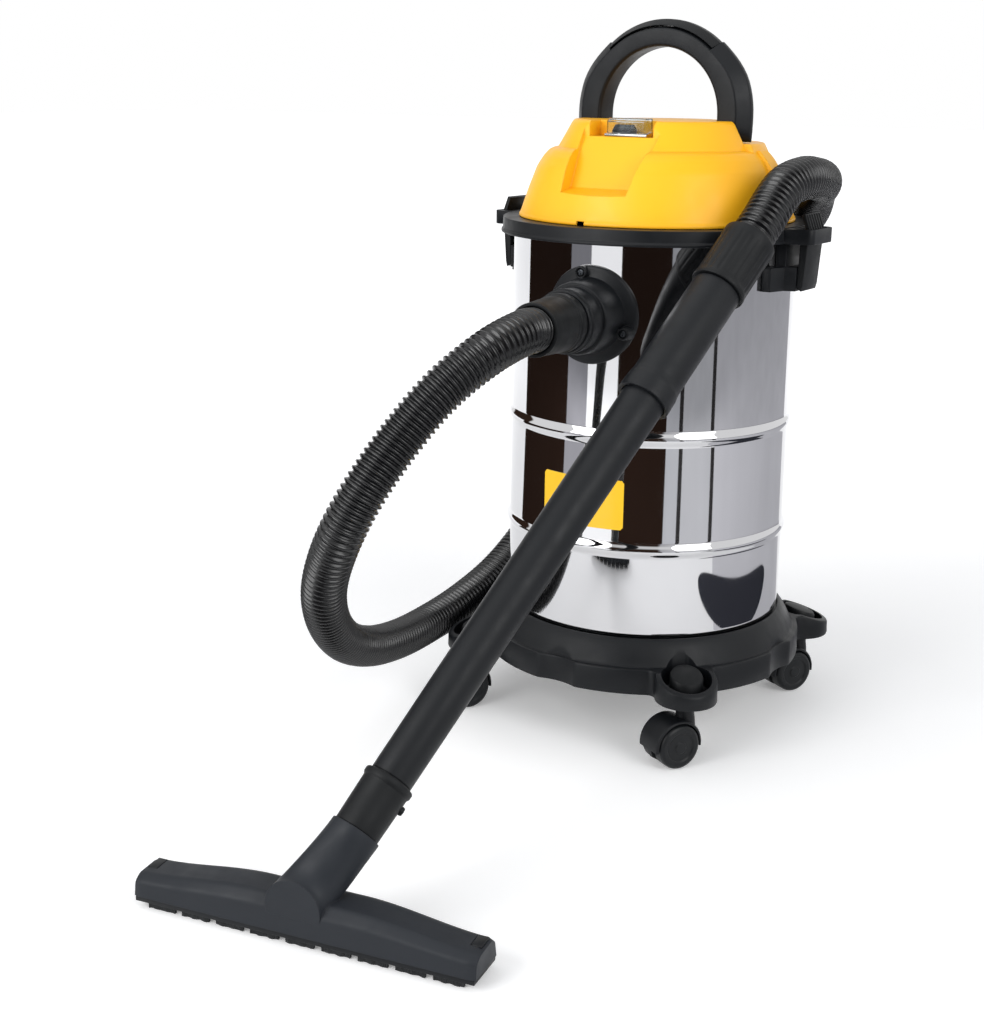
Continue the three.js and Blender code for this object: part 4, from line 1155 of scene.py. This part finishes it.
def nozzle_neck():
    """Skins the upright half round of the nozzle's front into the round end that takes the wand."""
    centre = on_nozzle(NOZZLE_LENGTH / 2 - 4, 1.0, 34)
    along = (on_nozzle(1, 0, 0) - on_nozzle(0, 0, 0)).normalized()
    inward = (on_nozzle(0, 1, 0) - on_nozzle(0, 0, 0)).normalized()
    across = (along - WAND_DIRECTION * along.dot(WAND_DIRECTION)).normalized()
    upward = across.cross(WAND_DIRECTION)
    mouth = wand_point(15.6)
    steps = 16
    rings = []
    for i in range(steps + 1):
        t = i / steps
        u = 1 - t
        ring = []
        for c, d in circle(72):
            reach = NECK_R if d >= 0 else min(30 / max(abs(c), 0.001), 8 / max(-d, 0.001), NECK_R)
            start = centre + along * (reach * c) + Vector((0, 0, reach * d))
            end = mouth + (across * c + upward * d) * 22.6
            leave = start + inward * 16
            arrive = end - WAND_DIRECTION * 18
            ring.append(start * u**3 + leave * 3 * u * u * t + arrive * 3 * u * t * t + end * t**3)
        rings.append(ring)
    return skin("neck", rings, capped=True, sharp=40)


def nozzle():
    stations = 64
    rows = []
    for i in range(stations + 1):
        u = NOZZLE_LENGTH * i / stations
        s = swell(u)
        end = min(1.0, min(u, NOZZLE_LENGTH - u) / 5.0)
        trim = 1.6 * (1 - math.sqrt(1 - (1 - end) ** 2))
        front, top, back = 25 + 6 * s - trim, 30 + 10 * s - trim, 31 + 11 * s - trim
        section = [
            (0.0 + trim, NOZZLE_BOTTOM + 3), (1.5 + trim, front), (10, top), (34, back),
            (NOZZLE_DEPTH - 3 - trim, back - 4), (NOZZLE_DEPTH - trim, NOZZLE_BOTTOM + 3),
        ]
        rows.append([on_nozzle(u, n, z) for n, z in soften(section, 3.0, 4, False)])
    body = skin("nozzle_shell", rows, capped=True, sharp=34)

    def local_box(u0, u1, n0, n1, z0, z1):
        rim = ((u0, n0), (u1, n0), (u1, n1), (u0, n1))
        corners = [on_nozzle(u, n, z) for z in (z0, z1) for u, n in rim]
        return object_of("cut", corners, BOX_FACES)

    unite(body, nozzle_neck())
    cut(body, local_box(8, NOZZLE_LENGTH - 8, 6, NOZZLE_DEPTH - 6, 0, 22))
    for u in (2.5, NOZZLE_LENGTH - 12.5):
        cut(body, local_box(u, u + 10, 18, 35, 26, 44))
    own(body, NOZZLE, "nozzle_body")
    refined("nozzle_clip_left", "clip_left", BLACK, 0.8)
    refined("nozzle_clip_right", "clip_right", BLACK, 0.8)
    refined("nozzle_sole", "sole_plate", BLACK, 0.4)


def brush(node, name):
    """Blocks of short uneven hairs in a row on a thin backing."""
    tufts = 9
    pitch = (NOZZLE_LENGTH - 16) / tufts
    n0 = 3.8 if node == "brush_front" else NOZZLE_DEPTH - 8.6
    points, faces = [], []

    def add_box(u0, u1, a0, a1, z0, z1, lean=0.0):
        first = len(points)
        for z, slip in ((z0, lean), (z1, 0)):
            points.extend(on_nozzle(u, n + slip, z) for u, n in ((u0, a0), (u1, a0), (u1, a1), (u0, a1)))
        faces.extend([[first + i for i in face] for face in BOX_FACES])

    add_box(7, NOZZLE_LENGTH - 7, n0, n0 + 4.6, NOZZLE_BOTTOM - 2.4, NOZZLE_BOTTOM - 0.3)
    for i in range(tufts):
        start = 8 + i * pitch + 3.4
        hairs = 16
        width = (pitch - 6.8) / hairs
        for k in range(hairs):
            u = start + k * width
            ragged = 0.5 * abs(math.sin(12.9898 * (i * hairs + k)))
            lean = 0.5 * math.sin(7.31 * (i * hairs + k))
            left, right = u + width * 0.08, u + width * 0.92
            add_box(left, right, n0 + 0.9, n0 + 3.7, ragged, NOZZLE_BOTTOM - 2.3, lean)
    mesh = bpy.data.meshes.new(name)
    mesh.from_pydata([at(*p) for p in points], [], faces)
    piece = placed(name, mesh)
    return own(piece, BRISTLE, node)


nozzle()
brush("brush_front", "front_bristles")
brush("brush_rear", "rear_bristles")


# ---------- studio ----------
FLOOR_REACH = 22000
CARD_REACH = 20000
CARD_HEIGHT = 2.5
DARK_CARD = "#2e211b"
LINE_CARD = "#3a3838"
WHITE = (1, 1, 1, 1)


def studio_floor():
    """A white floor that glows more with distance, so that its edge is lost in the white world."""
    corners = [(-1, -1), (1, -1), (1, 1), (-1, 1)]
    floor_points = [(FLOOR_REACH * x, FLOOR_REACH * y, 0) for x, y in corners]
    floor = object_of("studio_floor", floor_points, [(0, 1, 2, 3)])
    material, nodes, links, bsdf, place = shader("studio_floor")
    cloud = ranged(nodes, links, noise(nodes, links, place, 2, 2))
    links.new(mixed(nodes, links, cloud, srgb("#fafafa"), srgb("#fdfdfd")), bsdf.inputs["Base Color"])
    bsdf.inputs["Roughness"].default_value = 0.9
    bsdf.inputs["Specular IOR Level"].default_value = 0.1
    bsdf.inputs["Emission Color"].default_value = WHITE
    spread = nodes.new("ShaderNodeVectorMath")
    spread.operation = "LENGTH"
    links.new(place, spread.inputs[0])
    glow = ranged(nodes, links, spread.outputs["Value"], 0.2, 0.7, 0.6, 2.6)
    links.new(glow, bsdf.inputs["Emission Strength"])
    floor.data.materials.append(material)


def studio_world():
    """White to the eye, soft light from above, and a banded room in mirrors."""
    world = bpy.data.worlds.new("studio")
    scene.world = world
    world.use_nodes = True
    nodes, links = world.node_tree.nodes, world.node_tree.links
    background = nodes["Background"]
    background.inputs["Strength"].default_value = 1.0
    # Dark bands of an unlit room: one behind the camera and one to its left, with bright walls between.
    where = nodes.new("ShaderNodeTexCoord").outputs["Generated"]
    split = nodes.new("ShaderNodeSeparateXYZ")
    links.new(where, split.inputs["Vector"])
    heading = nodes.new("ShaderNodeMath")
    heading.operation = "ARCTAN2"
    links.new(split.outputs["X"], heading.inputs[0])
    negative = nodes.new("ShaderNodeMath")
    negative.operation = "MULTIPLY"
    negative.inputs[1].default_value = -1.0
    links.new(split.outputs["Y"], negative.inputs[0])
    links.new(negative.outputs["Value"], heading.inputs[1])
    turned = ranged(nodes, links, heading.outputs["Value"], 0, 1, -math.pi, math.pi)
    ramp = nodes.new("ShaderNodeValToRGB")
    grey, dark = (0.55, 0.55, 0.57, 1), (0.035, 0.02, 0.014, 1)
    stops = [
        (-180, WHITE), (-116, WHITE), (-114, dark), (-84, dark), (-82, WHITE), (-20, WHITE),
        (-1, WHITE), (1, dark), (40, dark), (42, grey), (70, WHITE), (180, WHITE),
    ]
    elements = ramp.color_ramp.elements
    while len(elements) < len(stops):
        elements.new(0.5)
    for element, (degrees, colour) in zip(elements, stops):
        element.position = (degrees + 180) / 360
        element.color = colour
    links.new(turned, ramp.inputs["Fac"])
    above = ranged(nodes, links, split.outputs["Z"], 0, 1, 0.45, 0.6)
    banded = mixed(nodes, links, above, ramp.outputs["Color"], WHITE)
    seen = nodes.new("ShaderNodeLightPath")
    height = ranged(nodes, links, split.outputs["Z"], 0, 1, 0.1, 0.9)
    lit = mixed(nodes, links, height, WHITE, (0.3, 0.31, 0.33, 1))
    reflected = mixed(nodes, links, seen.outputs["Is Glossy Ray"], lit, banded)
    plain = mixed(nodes, links, seen.outputs["Is Camera Ray"], reflected, WHITE)
    links.new(plain, background.inputs["Color"])


def lamp(name, place, target_height, width, height, power):
    """An area light, sizes in metres, aimed at a height on the drum's axis."""
    data = bpy.data.lights.new(name, "AREA")
    data.shape = "RECTANGLE"
    data.size, data.size_y = width, height
    data.energy = power
    light = placed(name, data)
    light.location = at(*place)
    aim = at(0, 0, target_height) - light.location
    light.rotation_euler = aim.to_track_quat("-Z", "Y").to_euler()


def sector(start, end, near):
    """The outline of a slice of a ring on the floor, from a radius out to the cards' reach."""
    angles = [start + (end - start) * k / 12 for k in range(13)]
    inner = [around(near, a, CARD_HEIGHT) for a in angles]
    return inner + [around(CARD_REACH, a, CARD_HEIGHT) for a in reversed(angles)]


def oval(heading, radius, half_width, half_depth):
    """The outline of an oval just above the other cards, lying across a heading."""
    middle = around(radius, heading, CARD_HEIGHT + 1)
    outward, across = around(1, heading), around(1, heading + 90)
    return [middle + across * (half_width * c) + outward * (half_depth * d) for c, d in circle(40)]


def card(name, rim, colour):
    """A sheet on the floor that only mirrors see, for the grey and dark shapes in the drum."""
    sheet = object_of(name, rim, [tuple(range(len(rim)))])
    material, nodes, links, bsdf, place = shader(name)
    base = srgb(colour)
    cloud = ranged(nodes, links, noise(nodes, links, place, 3, 2))
    tone = mixed(nodes, links, cloud, tinted(base, 0.96), tinted(base, 1.04))
    links.new(tone, bsdf.inputs["Base Color"])
    bsdf.inputs["Roughness"].default_value = 1.0
    bsdf.inputs["Specular IOR Level"].default_value = 0.0
    sheet.data.materials.append(material)
    sheet.visible_camera = False
    sheet.visible_diffuse = False
    sheet.visible_shadow = False
    sheet.visible_transmission = False


scene.view_settings.view_transform = "Standard"
studio_floor()
studio_world()
lamp("key", (-900, -2700, 1500), 350, 1.8, 1.6, 44)
lamp("side", (2300, -900, 1500), 350, 1.4, 1.4, 22)
lamp("top", (-400, -600, 2600), 300, 2.0, 2.0, 10)
card("front_card", sector(3, 42, 850), DARK_CARD)
card("left_card", sector(-90, -40, 800), DARK_CARD)
card("left_grey", sector(-40, -22, 900), "#b4b3b8")
card("right_grey", sector(42, 52, 900), "#d3d4d8")
card("right_line", sector(52, 55, 900), LINE_CARD)
card("middle_grey", sector(55, 78, 900), "#dcdcdf")
card("far_line", sector(78, 81, 900), LINE_CARD)
card("far_grey", sector(81, 170, 330), "#e4e3e7")
card("near_dark", oval(104, 480, 330, 88), "#3c3d44")
